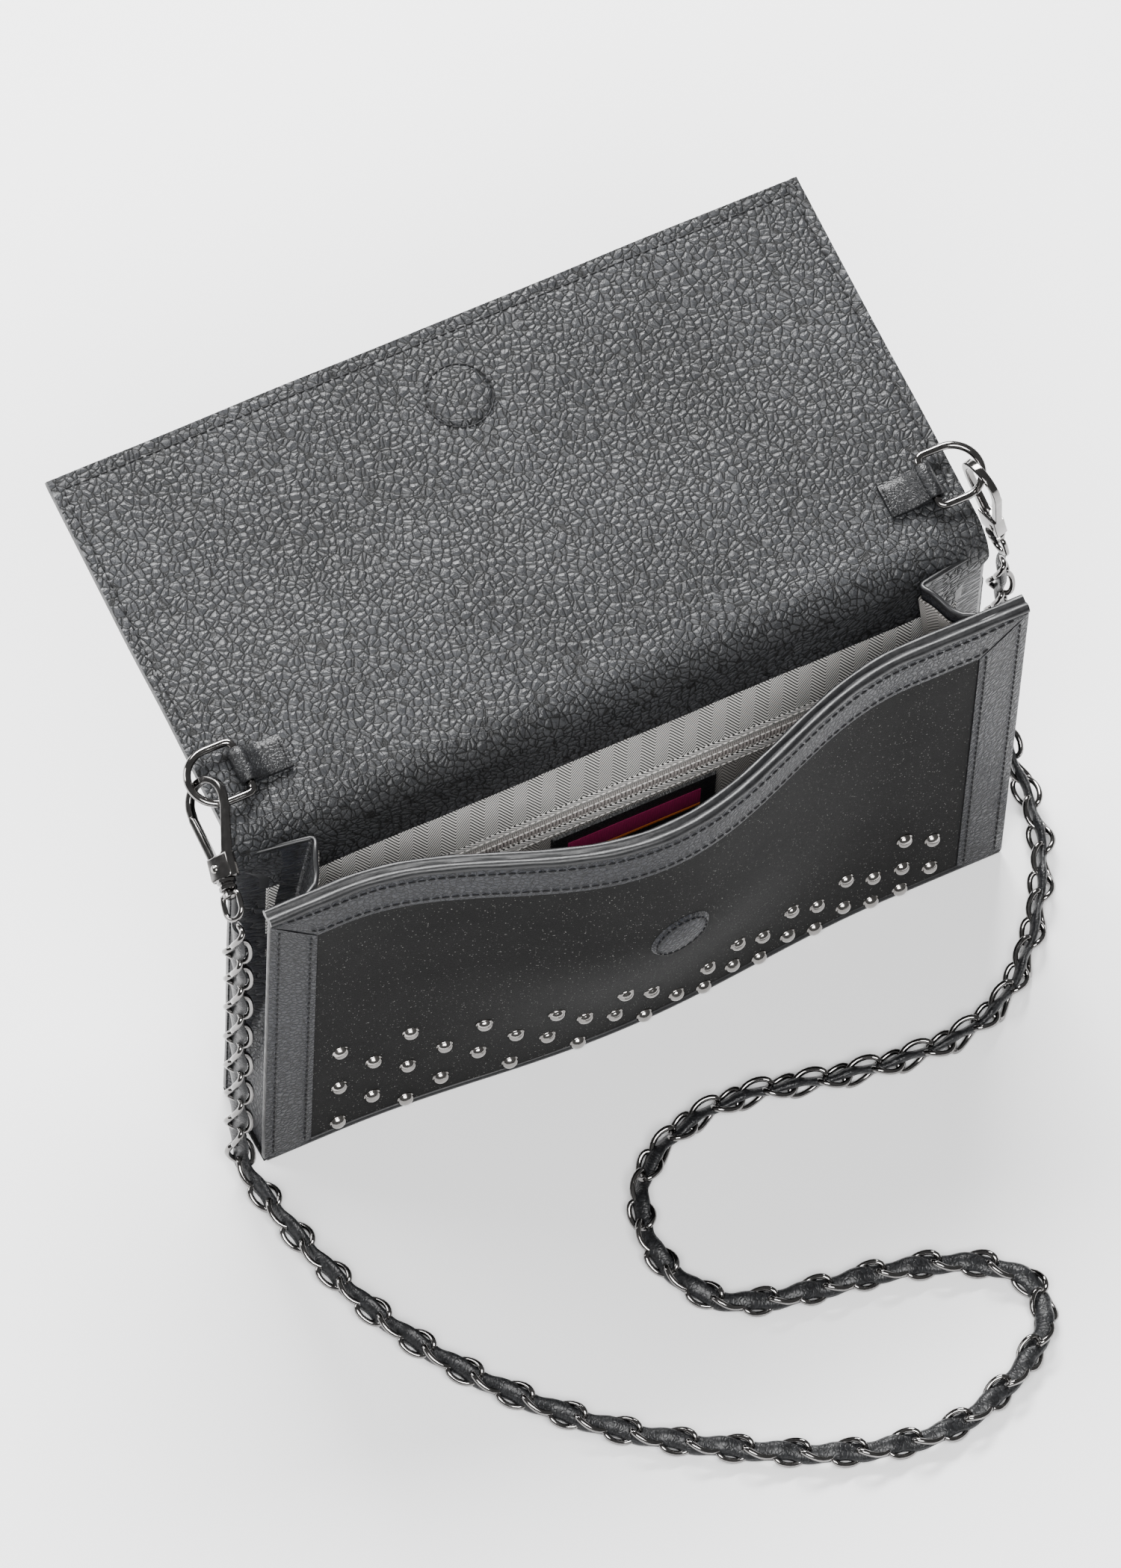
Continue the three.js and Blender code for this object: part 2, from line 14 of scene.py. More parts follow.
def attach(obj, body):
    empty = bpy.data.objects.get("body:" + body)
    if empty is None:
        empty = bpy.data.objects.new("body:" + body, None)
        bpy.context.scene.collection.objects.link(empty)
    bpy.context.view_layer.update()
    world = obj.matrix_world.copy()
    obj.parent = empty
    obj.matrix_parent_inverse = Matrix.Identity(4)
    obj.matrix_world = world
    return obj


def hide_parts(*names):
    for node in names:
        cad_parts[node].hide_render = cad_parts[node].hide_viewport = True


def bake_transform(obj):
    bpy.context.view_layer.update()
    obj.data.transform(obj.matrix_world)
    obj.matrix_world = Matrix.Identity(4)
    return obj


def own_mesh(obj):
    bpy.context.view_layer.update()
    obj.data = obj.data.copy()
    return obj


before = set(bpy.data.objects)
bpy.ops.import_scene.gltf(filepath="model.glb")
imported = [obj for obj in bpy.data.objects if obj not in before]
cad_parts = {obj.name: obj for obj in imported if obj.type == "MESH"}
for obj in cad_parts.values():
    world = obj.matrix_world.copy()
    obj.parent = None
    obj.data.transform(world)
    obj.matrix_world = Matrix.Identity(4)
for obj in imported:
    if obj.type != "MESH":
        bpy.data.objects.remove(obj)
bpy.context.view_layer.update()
MM = 0.001
SIDES = (("left", -1), ("right", 1))

# ---------------------------------------------------------------- shape of the bag, as in the CAD
HALF_WIDTH = 140.0
FRONT_Y = -15.5
BACK_Y = 15.5
BULGE_CENTRE, BULGE_HALF = -8.0, 105.0
BULGE_BASE, BULGE_RIM, BULGE_FULL_Z = 6.4, 27.4, 95.0
SIDE_TRIM = 17.5
PANEL_TOP = 140.3
TRIM_TOP = 158.3
GUSSET_TOP = 157.5
HINGE = Vector((0, 14.8, 163))
LEAN = math.radians(9.4)
FLAP_END = 142.0
ZIP_Z = 98.15
SLIDER_X = -80.0
LABEL_X, LABEL_Z = 9.0, 78.0
TAB_Y, LOOP_Z = 22.5, 5.1
RING_BAR = {"left": -125.0, "right": 128.5}
RING_STRAIGHT, RING_BEND = 9.5, 9.75
FRONT_KEEP = 0.05

# ---------------------------------------------------------------- camera
CAMERA_TARGET = Vector((-21.132, 7.598, 127.434)) * MM
CAMERA_DISTANCE = 4.525754
CAMERA_AZIMUTH = math.radians(-29.703)
CAMERA_ELEVATION = math.radians(59.36)
CAMERA_ROLL = math.radians(3.543)
CAMERA_LENS = 313.352404


def add_camera():
    a, e, roll = CAMERA_AZIMUTH, CAMERA_ELEVATION, CAMERA_ROLL
    back = Vector((math.sin(a) * math.cos(e), -math.cos(a) * math.cos(e), math.sin(e)))
    right = Vector((math.cos(a), math.sin(a), 0))
    up = back.cross(right)
    side = math.cos(roll) * right + math.sin(roll) * up
    top = -math.sin(roll) * right + math.cos(roll) * up
    data = bpy.data.cameras.new("camera")
    data.lens = CAMERA_LENS
    data.sensor_width = 36
    data.clip_end = 50
    camera = bpy.data.objects.new("camera", data)
    bpy.context.scene.collection.objects.link(camera)
    camera.matrix_world = Matrix.Translation(CAMERA_TARGET + CAMERA_DISTANCE * back) @ Matrix(
        (side, top, back)).transposed().to_4x4()
    bpy.context.scene.camera = camera


# ---------------------------------------------------------------- material graphs
class Graph:
    """A material with a short way to add nodes. Sockets are linked, and anything else is a constant."""

    def __init__(self, name, **constants):
        self.material = bpy.data.materials.new(name)
        self.material.use_nodes = True
        self.tree = self.material.node_tree
        self.shader = self.tree.nodes["Principled BSDF"]
        for socket, value in constants.items():
            self.shader.inputs[socket.replace("_", " ")].default_value = value

    def put(self, socket, value):
        if isinstance(value, bpy.types.NodeSocket):
            self.tree.links.new(value, socket)
        elif isinstance(value, tuple) and len(value) == 3 and len(socket.default_value) == 4:
            socket.default_value = (*value, 1)
        else:
            socket.default_value = value

    def node(self, kind, inputs=(), output=0, **settings):
        node = self.tree.nodes.new("ShaderNode" + kind)
        for key, value in settings.items():
            setattr(node, key, value)
        for key, value in dict(inputs).items():
            self.put(node.inputs[key], value)
        return node.outputs[output]

    def flat(self, x_scale=1.0, y_scale=1.0):
        """The UV map, which holds millimetres."""
        uv = self.node("TexCoord", output=2)
        return self.node("VectorMath", {0: uv, 1: (x_scale, y_scale, 1)}, operation="MULTIPLY")

    def solid(self):
        """Object coordinates in millimetres."""
        place = self.node("TexCoord", output=3)
        return self.node("VectorMath", {0: place, 1: (1000, 1000, 1000)}, operation="MULTIPLY")

    def noise(self, place, size, detail=3.0, roughness=0.55):
        return self.node(
            "TexNoise", {"Vector": place, "Scale": 1 / size, "Detail": detail, "Roughness": roughness})

    def cells(self, place, size, feature="DISTANCE_TO_EDGE"):
        return self.node("TexVoronoi", {"Vector": place, "Scale": 1 / size}, feature=feature)

    def math(self, operation, a, b):
        return self.node("Math", {0: a, 1: b}, operation=operation)

    def remap(self, value, low, high, to_low=0.0, to_high=1.0, smooth=False):
        kind = "SMOOTHSTEP" if smooth else "LINEAR"
        return self.node(
            "MapRange", {0: value, 1: low, 2: high, 3: to_low, 4: to_high}, interpolation_type=kind)

    def blend(self, factor, a, b):
        return self.node("Mix", {0: factor, 6: a, 7: b}, output=2, data_type="RGBA")

    def warp(self, place, size, amount):
        wobble = self.node("TexNoise", {"Vector": place, "Scale": 1 / size, "Detail": 2.0}, output=1)
        centred = self.node("VectorMath", {0: wobble, 1: (0.5, 0.5, 0.5)}, operation="SUBTRACT")
        scaled = self.node("VectorMath", {0: centred, "Scale": amount}, operation="SCALE")
        return self.node("VectorMath", {0: place, 1: scaled}, operation="ADD")

    def bump(self, height, strength, distance_mm):
        normal = self.node("Bump", {"Height": height, "Strength": strength, "Distance": distance_mm * MM})
        self.put(self.shader.inputs["Normal"], normal)

    def finish(self, color=None, roughness=None):
        if color is not None:
            self.put(self.shader.inputs["Base Color"], color)
        if roughness is not None:
            self.put(self.shader.inputs["Roughness"], roughness)
        return self.material


def pebbled_leather(
        name, cell=2.7, base=(0.0008, 0.0009, 0.001), crown=(0.04, 0.0415, 0.045), depth=1.0, shine=0.26):
    """Plump crowns between thin crossing creases, with a painted highlight on the crowns and painted shade in
    the creases.
    """
    g = Graph(name, Specular_IOR_Level=0.32)
    place = g.warp(g.flat(), cell * 2.2, cell * 0.5)
    edge = g.cells(place, cell)
    crossing = g.cells(g.warp(g.flat(), 5.0, 1.6), cell * 0.8)
    dome = g.math("POWER", g.remap(edge, 0.0, 0.4), 0.6)
    wrinkle = g.noise(g.flat(), cell * 0.12, detail=3)
    crease = g.remap(edge, 0.01, 0.13, smooth=True)
    line = g.remap(crossing, 0.0, 0.06, 0.55, 1.0, smooth=True)
    net = g.math("MULTIPLY", crease, line)
    height = g.math("ADD", g.math("MULTIPLY", dome, 0.6), g.math("MULTIPLY", line, 0.3))
    height = g.math("ADD", height, g.math("MULTIPLY", wrinkle, 0.12))
    patches = g.remap(g.noise(g.flat(), 60.0, detail=1), 0.35, 0.65, 0.6, 1.0)
    # Painted light: the crowns are coloured lighter as a painted highlight, and the creases and fine wrinkles
    # darker as painted shade.
    painted_sheen_and_shade = g.math("MULTIPLY", net, g.remap(wrinkle, 0.3, 0.7, 0.5, 1.0))
    g.bump(height, depth, 0.7)
    color = g.blend(g.math("MULTIPLY", painted_sheen_and_shade, patches), base, crown)
    return g.finish(color, g.remap(height, 0.3, 0.95, shine + 0.3, shine))


def smooth_leather(name, base, crown, shine=0.3, cell=1.3):
    g = Graph(name, Specular_IOR_Level=0.35)
    place = g.warp(g.flat(), 2.2, 1.4)
    grain = g.remap(g.cells(place, cell), 0.0, 0.22, smooth=True)
    fine = g.noise(g.flat(), 0.4, detail=3)
    height = g.math("ADD", g.math("MULTIPLY", grain, 0.6), g.math("MULTIPLY", fine, 0.4))
    g.bump(height, 0.45, 0.3)
    # The colour follows the bump height: the grain's dips are darker as painted shade, its tops lighter as a
    # painted highlight.
    return g.finish(g.blend(height, base, crown), g.remap(fine, 0.3, 0.7, shine, shine + 0.16))


def edge_paint(name):
    g = Graph(name, Specular_IOR_Level=0.35, Coat_Weight=0.1, Coat_Roughness=0.3)
    place = g.flat()
    worn = g.noise(place, 3.2, detail=3)
    g.bump(g.noise(place, 1.4, detail=2), 0.22, 0.3)
    color = g.blend(worn, (0.002, 0.002, 0.0024), (0.009, 0.0094, 0.0105))
    return g.finish(color, g.remap(worn, 0.3, 0.7, 0.34, 0.5))


def suede(name):
    g = Graph(name, Specular_IOR_Level=0.06, Sheen_Weight=0.04, Sheen_Roughness=0.5)
    place = g.flat()
    nap = g.noise(place, 0.5, detail=5, roughness=0.75)
    cloud = g.noise(place, 22.0, detail=3)
    speck = g.remap(g.cells(place, 0.85, feature="F1"), 0.12, 0.3, 1.0, 0.0)
    sparse = g.remap(g.noise(place, 0.9, detail=1), 0.55, 0.62)
    glint = g.math("MULTIPLY", speck, sparse)
    shade = g.math("MULTIPLY", g.remap(nap, 0.3, 0.7), g.remap(cloud, 0.3, 0.7, 0.45, 1.0))
    ground = g.blend(shade, (0.0015, 0.0015, 0.0016), (0.011, 0.0109, 0.0108))
    g.bump(nap, 0.6, 0.3)
    return g.finish(g.blend(glint, ground, (0.16, 0.158, 0.15)), 0.92)


def herringbone(name, light, dark, column=5.3, pitch=1.9, contrast=1.0):
    g = Graph(name, Specular_IOR_Level=0.2, Roughness=0.85, Sheen_Weight=0.1)
    split = g.tree.nodes.new("ShaderNodeSeparateXYZ")
    g.put(split.inputs[0], g.warp(g.flat(), 9.0, 0.3))
    zigzag = g.math("PINGPONG", split.outputs[0], column)
    slope = g.math("ADD", split.outputs[1], g.math("MULTIPLY", zigzag, 1.6))
    line = g.math("PINGPONG", slope, pitch / 2)
    thread = g.remap(line, pitch * 0.19, pitch * 0.29, smooth=True)
    yarn = g.noise(g.flat(3.0, 1.0), 0.5, detail=2)
    fade = g.remap(g.noise(g.flat(), 14.0), 0.3, 0.7, 0.9 * contrast, contrast)
    tone = g.math("MULTIPLY", g.math("MULTIPLY", thread, fade), g.remap(yarn, 0.3, 0.7, 0.86, 1.0))
    g.bump(g.math("ADD", thread, g.math("MULTIPLY", yarn, 0.3)), 0.4, 0.18)
    return g.finish(g.blend(tone, dark, light))


def ribbed_tape(name, light, dark, pitch=0.8):
    g = Graph(name, Specular_IOR_Level=0.2, Roughness=0.8)
    split = g.tree.nodes.new("ShaderNodeSeparateXYZ")
    g.put(split.inputs[0], g.flat())
    rib = g.remap(g.math("PINGPONG", split.outputs[0], pitch / 2), pitch * 0.1, pitch * 0.4, smooth=True)
    yarn = g.noise(g.flat(1.0, 2.5), 0.5, detail=2)
    g.bump(rib, 0.6, 0.15)
    return g.finish(g.blend(g.math("MULTIPLY", rib, g.remap(yarn, 0.3, 0.7, 0.7, 1.0)), dark, light))


def plated_metal(name, base, bright, rough_low=0.1, rough_high=0.2):
    g = Graph(name, Metallic=1.0)
    place = g.solid()
    cloud = g.noise(place, 3.0, detail=3)
    hair = g.noise(place, 0.35, detail=2)
    g.bump(hair, 0.05, 0.05)
    return g.finish(g.blend(cloud, base, bright), g.remap(cloud, 0.3, 0.7, rough_low, rough_high))


def twisted_thread(name, base, crown):
    g = Graph(name, Specular_IOR_Level=0.3, Roughness=0.6)
    place = g.solid()
    wave = g.node("TexWave", {"Vector": place, "Scale": 1.6, "Distortion": 1.5, "Detail": 1.0})
    g.bump(wave, 0.4, 0.1)
    return g.finish(g.blend(wave, base, crown))


def fibre(name, base, crown):
    g = Graph(name, Roughness=0.85, Specular_IOR_Level=0.2)
    speck = g.noise(g.solid(), 0.8, detail=4, roughness=0.7)
    g.bump(speck, 0.3, 0.2)
    return g.finish(g.blend(speck, base, crown))


# Both pebbled leathers carry a painted highlight on their crowns and painted shade in their creases.
LEATHER = pebbled_leather("pebbled_leather")
TRIM = pebbled_leather(
    "trim_leather", cell=2.0, base=(0.0025, 0.0027, 0.0034), crown=(0.017, 0.0185, 0.024), depth=0.9)
STRAP = smooth_leather("strap_leather", (0.002, 0.0021, 0.0024), (0.014, 0.0145, 0.016))
EDGE = edge_paint("edge_paint")
SUEDE = suede("speckled_suede")
CLOTH = herringbone("herringbone_lining", (0.68, 0.665, 0.645), (0.008, 0.0078, 0.0075))
# A darker, lower-contrast copy of the lining cloth, used for the base lining, the gusset cloth and the lower
# back lining: its darkness is painted shade.
SHADED_CLOTH = herringbone("herringbone_shaded", (0.30, 0.285, 0.27), (0.05, 0.047, 0.044), contrast=0.9)
POCKET = fibre("pocket_cloth", (0.07, 0.062, 0.056), (0.13, 0.118, 0.108))
TAPE = ribbed_tape("zip_tape", (0.42, 0.40, 0.385), (0.16, 0.15, 0.145))
COIL = fibre("zip_coil", (0.16, 0.145, 0.14), (0.34, 0.31, 0.30))
PALE_THREAD = twisted_thread("pale_thread", (0.5, 0.48, 0.46), (0.84, 0.82, 0.79))
THREAD = twisted_thread("black_thread", (0.002, 0.002, 0.0022), (0.01, 0.01, 0.011))
GUNMETAL = plated_metal("gunmetal", (0.13, 0.126, 0.123), (0.27, 0.262, 0.257), 0.07, 0.15)
STUD_METAL = plated_metal("stud_metal", (0.22, 0.21, 0.20), (0.38, 0.365, 0.35), 0.1, 0.2)
BOARD = fibre("fibre_board", (0.22, 0.18, 0.14), (0.34, 0.29, 0.23))
MAGENTA = ribbed_tape("label_magenta", (0.24, 0.008, 0.07), (0.12, 0.004, 0.035), pitch=0.5)
ORANGE = ribbed_tape("label_orange", (0.42, 0.11, 0.02), (0.24, 0.055, 0.01), pitch=0.5)


# ---------------------------------------------------------------- mesh helpers
def new_object(name, points, faces, materials, indices=None, uvs=None, sharp=50):
    """An object from points in millimetres. uvs are millimetres too, one per point."""
    mesh = bpy.data.meshes.new(name)
    mesh.from_pydata([tuple(float(c) * MM for c in p) for p in points], [], [tuple(f) for f in faces])
    for one in materials:
        mesh.materials.append(one)
    if indices is not None:
        mesh.polygons.foreach_set("material_index", indices)
    layer = mesh.uv_layers.new(name="UVMap")
    at = np.array(points, float)[:, [0, 2]] if uvs is None else np.array(uvs, float)
    loops = np.zeros(len(mesh.loops), np.int32)
    mesh.loops.foreach_get("vertex_index", loops)
    layer.data.foreach_set("uv", at[loops].astype(np.float32).ravel())
    work = bmesh.new()
    work.from_mesh(mesh)
    bmesh.ops.recalc_face_normals(work, faces=work.faces)
    work.to_mesh(mesh)
    work.free()
    mesh.shade_smooth()
    mesh.set_sharp_from_angle(angle=math.radians(sharp))
    obj = bpy.data.objects.new(name, mesh)
    bpy.context.scene.collection.objects.link(obj)
    return obj


def slab(name, us, vs, face_a, face_b, materials, uv=None, rim=0.4):
    """A closed sheet between two faces. Its rounded rim takes the second material."""
    nu, nv = len(us), len(vs)
    a = np.array([[face_a(u, v) for u in us] for v in vs], float)
    b = np.array([[face_b(u, v) for u in us] for v in vs], float)
    middle = (a + b) / 2
    border = [(i, 0) for i in range(nu)] + [(nu - 1, j) for j in range(1, nv)]
    border += [(i, nv - 1) for i in range(nu - 2, -1, -1)] + [(0, j) for j in range(nv - 2, 0, -1)]
    edge = []
    for i, j in border:
        inner = middle[min(max(j, 1), nv - 2), min(max(i, 1), nu - 2)]
        out = middle[j, i] - inner
        edge.append(middle[j, i] + out / (np.linalg.norm(out) + 1e-9) * rim)
    points = list(a.reshape(-1, 3)) + list(b.reshape(-1, 3)) + edge
    count = nu * nv
    faces, indices = [], []
    for j in range(nv - 1):
        for i in range(nu - 1):
            k = j * nu + i
            faces.append((k, k + 1, k + nu + 1, k + nu))
            faces.append((count + k, count + k + nu, count + k + nu + 1, count + k + 1))
            indices += [0, 0]
    total = len(border)
    for n, (i, j) in enumerate(border):
        i2, j2 = border[(n + 1) % total]
        p, q = j * nu + i, j2 * nu + i2
        e, f = 2 * count + n, 2 * count + (n + 1) % total
        faces += [(p, q, f, e), (e, f, count + q, count + p)]
        indices += [1, 1]
    uv = uv or (lambda u, v: (u, v))
    flat = [uv(u, v) for v in vs for u in us]
    uvs = flat + flat + [uv(us[i], vs[j]) for i, j in border]
    return new_object(name, points, faces, materials, indices, uvs)


def path_frames(points, closed=False, up=(0, 0, 1)):
    """Tangents and two normals along a polyline, carried along it without twist."""
    p = np.array(points, float)
    ahead = np.roll(p, -1, 0) - p
    if closed:
        tangent = ahead + np.roll(ahead, 1, 0)
    else:
        ahead[-1] = ahead[-2]
        tangent = ahead.copy()
        tangent[1:] += ahead[:-1]
    tangent /= np.linalg.norm(tangent, axis=1)[:, None]
    side = np.cross(np.array(up, float), tangent[0])
    if np.linalg.norm(side) < 1e-3:
        side = np.cross((1, 0, 0), tangent[0])
    sides = []
    for t in tangent:
        side = side - np.dot(side, t) * t
        side = side / np.linalg.norm(side)
        sides.append(side)
    sides = np.array(sides)
    return p, tangent, sides, np.cross(tangent, sides)


def ring_faces(rings, count, closed=False, start=0):
    """Quads between rings of count points each. closed joins the last ring to the first."""
    faces = []
    for i in range(rings if closed else rings - 1):
        here, there = start + i * count, start + (i + 1) % rings * count
        for k in range(count):
            m = (k + 1) % count
            faces.append((here + k, here + m, there + m, there + k))
    return faces


def end_faces(rings, count, first_step=-1, last_step=1):
    """The first and the last ring, filled in, each run through forwards or backwards."""
    return [tuple(range(count))[::first_step], tuple(range((rings - 1) * count, rings * count))[::last_step]]


def turned(profile, turns, place):
    """Rings of points, each put by place(cos, sin, radius, height), for (radius, height) pairs."""
    angles = [2 * math.pi * k / turns for k in range(turns)]
    return [place(math.cos(a), math.sin(a), r, h) for r, h in profile for a in angles]


def tube_arrays(points, radius, sides, closed=False, up=(0, 0, 1)):
    """Vertices and faces of a round tube. radius is one number or one (wide, high) pair for each point."""
    p, tangent, side, top = path_frames(points, closed, up)
    count = len(p)
    sizes = np.array(radius, float)
    wide = np.full(count, float(radius)) if sizes.ndim == 0 else sizes[:, 0]
    high = wide if sizes.ndim == 0 else sizes[:, 1]
    turn = np.linspace(0, 2 * math.pi, sides, endpoint=False)
    verts = (p[:, None, :] + (wide[:, None] * np.cos(turn))[:, :, None] * side[:, None, :]
             + (high[:, None] * np.sin(turn))[:, :, None] * top[:, None, :]).reshape(-1, 3)
    faces = ring_faces(count, sides, closed)
    if not closed:
        faces += end_faces(count, sides)
    return verts, faces


def join_arrays(parts):
    """One list of vertices and faces from several."""
    points, faces, start = [], [], 0
    for verts, polygons in parts:
        points.append(verts)
        faces += [tuple(start + k for k in f) for f in polygons]
        start += len(verts)
    return np.concatenate(points), faces


def tube(name, points, radius, look, sides=10, closed=False, up=(0, 0, 1)):
    verts, faces = tube_arrays(points, radius, sides, closed, up)
    return new_object(name, verts, faces, [look], sharp=60)


def resample(points, step):
    """Points at even steps along a polyline."""
    p = np.array(points, float)
    along = np.concatenate([[0], np.cumsum(np.linalg.norm(np.diff(p, axis=0), axis=1))])
    count = max(2, int(round(along[-1] / step)) + 1)
    where = np.linspace(0, along[-1], count)
    return np.stack([np.interp(where, along, p[:, k]) for k in range(3)], 1)


def smooth_curve(points, per_span=12):
    """A Catmull-Rom curve through the points."""
    p = np.array(points, float)
    q = np.vstack([2 * p[0] - p[1], p, 2 * p[-1] - p[-2]])
    out = []
    for i in range(1, len(q) - 2):
        for s in np.linspace(0, 1, per_span, endpoint=False):
            a, b, c, d = q[i - 1], q[i], q[i + 1], q[i + 2]
            out.append(0.5 * (2 * b + (c - a) * s + (2 * a - 5 * b + 4 * c - d) * s ** 2
                              + (3 * b - a - 3 * c + d) * s ** 3))
    out.append(p[-1])
    return np.array(out)


STITCH_PROFILE = ((-1.0, 0.25), (-0.55, 0.9), (0.0, 1.0), (0.55, 0.9), (1.0, 0.25))


def stitches(name, path, look=THREAD, pitch=3.3, length=2.5, radius=0.36):
    """A row of thread stitches along a polyline, in one mesh."""
    p = resample(path, pitch)
    parts = []
    for a, b in zip(p[:-1], p[1:]):
        centre = (a + b) / 2
        along = (b - a) / np.linalg.norm(b - a)
        spine = [centre + along * length / 2 * s for s, _ in STITCH_PROFILE]
        sizes = [(radius * w, radius * w) for _, w in STITCH_PROFILE]
        parts.append(tube_arrays(spine, sizes, 6))
    verts, faces = join_arrays(parts)
    return new_object(name, verts, faces, [look], sharp=80)


def dense(low, high, step, fine=(), reach=1.6):
    """Stations from low to high, closer together around each fine place."""
    base = list(np.arange(low, high, step)) + [high]
    for place in fine:
        base += [place + d for d in (-reach, -reach / 2, 0, reach / 2, reach)]
    kept = sorted(x for x in base if low <= x <= high)
    out = [kept[0]]
    for x in kept[1:]:
        if x - out[-1] > 0.12:
            out.append(x)
    return out


def ease(x):
    """A smooth step from 0 to 1, as x goes from 0 to 1."""
    x = min(max(x, 0.0), 1.0)
    return x * x * (3 - 2 * x)


def ripple(x, y, size=1.0):
    """A soft unevenness, at most 1.5 mm either way at size 1."""
    slow = math.sin(x * 0.043 + 0.7) * math.cos(y * 0.061)
    return size * (slow + 0.5 * math.sin(x * 0.091 + y * 0.077 + 2.1))


# ---------------------------------------------------------------- flap
def flap_point(x, y, z):
    """A place in the flap's own frame, given in the bag's."""
    c, s = math.cos(LEAN), math.sin(LEAN)
    return (x, HINGE.y + y * c - z * s, HINGE.z + y * s + z * c)


FLAP_SEAM = 16.0
ROLL = 13.0
FACING_Y, FACING_BOTTOM = 10.4, 133.3
BACK_SEAM_Z = 134.5
BACK_PANEL_TOP = 134.9


def roll_centre():
    """Centre of the leather's roll from the facing on to the flap's inside."""
    y = FACING_Y + ROLL
    end_y = y - ROLL * math.sin(LEAN)
    end_z = HINGE.z + (1.7 + math.sin(LEAN) * (end_y - HINGE.y)) / math.cos(LEAN)
    return y, end_z - ROLL * math.cos(LEAN)


ROLL_Y, ROLL_Z = roll_centre()
ROLL_SWEEP = math.pi / 2 - LEAN
LOWER_RUN = ROLL_Z - FACING_BOTTOM


def inner_line(s):
    """The leather's inside line, s mm up from the facing's lower edge to the seam in the top strip."""
    if s < LOWER_RUN:
        return FACING_Y, FACING_BOTTOM + s
    turn = min((s - LOWER_RUN) / ROLL, ROLL_SWEEP)
    y, z = ROLL_Y - ROLL * math.cos(turn), ROLL_Z + ROLL * math.sin(turn)
    rest = s - LOWER_RUN - ROLL * ROLL_SWEEP
    if rest > 0:
        y, z = y + rest * math.cos(LEAN), z + rest * math.sin(LEAN)
    return y, z


END_OF_ROLL = LOWER_RUN + ROLL * ROLL_SWEEP
ROLL_END_LOCAL = (ROLL_Y - ROLL * math.sin(LEAN) - HINGE.y) / math.cos(LEAN) + 1.7 * math.tan(LEAN)
SEAM_S = END_OF_ROLL + FLAP_SEAM - ROLL_END_LOCAL


def outer_line(s):
    """The outside line beside inner_line: up the back, a tight turn, then along the strip."""
    up, turn = 24.6, 4.0
    d = s / SEAM_S * (up + turn + FLAP_SEAM - 2.6)
    if d < up:
        return BACK_Y, BACK_SEAM_Z + d
    y1, z1 = BACK_Y, BACK_SEAM_Z + up
    _, y2, z2 = flap_point(0, 3.6, -1.7)
    if d < up + turn:
        k = (d - up) / turn
        yc, zc = BACK_Y, z2 - 0.4
        y = (1 - k) ** 2 * y1 + 2 * k * (1 - k) * yc + k * k * y2
        z = (1 - k) ** 2 * z1 + 2 * k * (1 - k) * zc + k * k * z2
        return y, z
    _, y, z = flap_point(0, 3.6 + (d - up - turn) * (FLAP_SEAM - 3.6) / (FLAP_SEAM - 2.6), -1.7)
    return y, z


STITCH_X = HALF_WIDTH - 4.6
FLAP_HALF = HALF_WIDTH - 0.7


def groove(x):
    """How deep the thread of the two side seams pulls the leather in."""
    return 0.35 * math.exp(-(((abs(x) - STITCH_X) / 0.9) ** 2))


def add_back_roll():
    us = dense(-FLAP_HALF, FLAP_HALF, 8, (-STITCH_X, STITCH_X))
    vs = np.linspace(0, SEAM_S, 46)

    def inner(x, s):
        y, z = inner_line(s)
        lift = groove(x) * ease((s - LOWER_RUN) / 10)
        wave = ripple(x, s * 1.7, 0.35) * ease((s - 8) / 14) * ease((SEAM_S - s) / 8)
        turn = min(max((s - LOWER_RUN) / ROLL, 0), ROLL_SWEEP)
        n_y, n_z = -math.cos(turn), math.sin(turn)
        narrow = HALF_WIDTH - 12 * (1 - ease((s - 6) / 16))
        return (x * narrow / HALF_WIDTH, y + n_y * (wave - lift), z + n_z * (wave - lift))

    def outer(x, s):
        y, z = outer_line(s)
        return (x, y, z)

    roll = slab("flap_root_leather", us, vs, inner, outer, [LEATHER, EDGE],
                uv=lambda u, s: (u, s - SEAM_S), rim=0.25)
    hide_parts("back_fold", "back_facing", "back_top_binding", "flap_top_outer", "flap_top_core",
                "flap_top_lining")
    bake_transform(roll)


FLAP_STITCH = 4.6
FLAP_SAG = 2.2


def flap_height(x, y):
    """How far the flap's two faces move together from flat."""
    far = ease((y - 46) / 40)
    return far * (ripple(x, y, 0.4) + 0.6 * math.sin((x + 30) / 95) - FLAP_SAG)


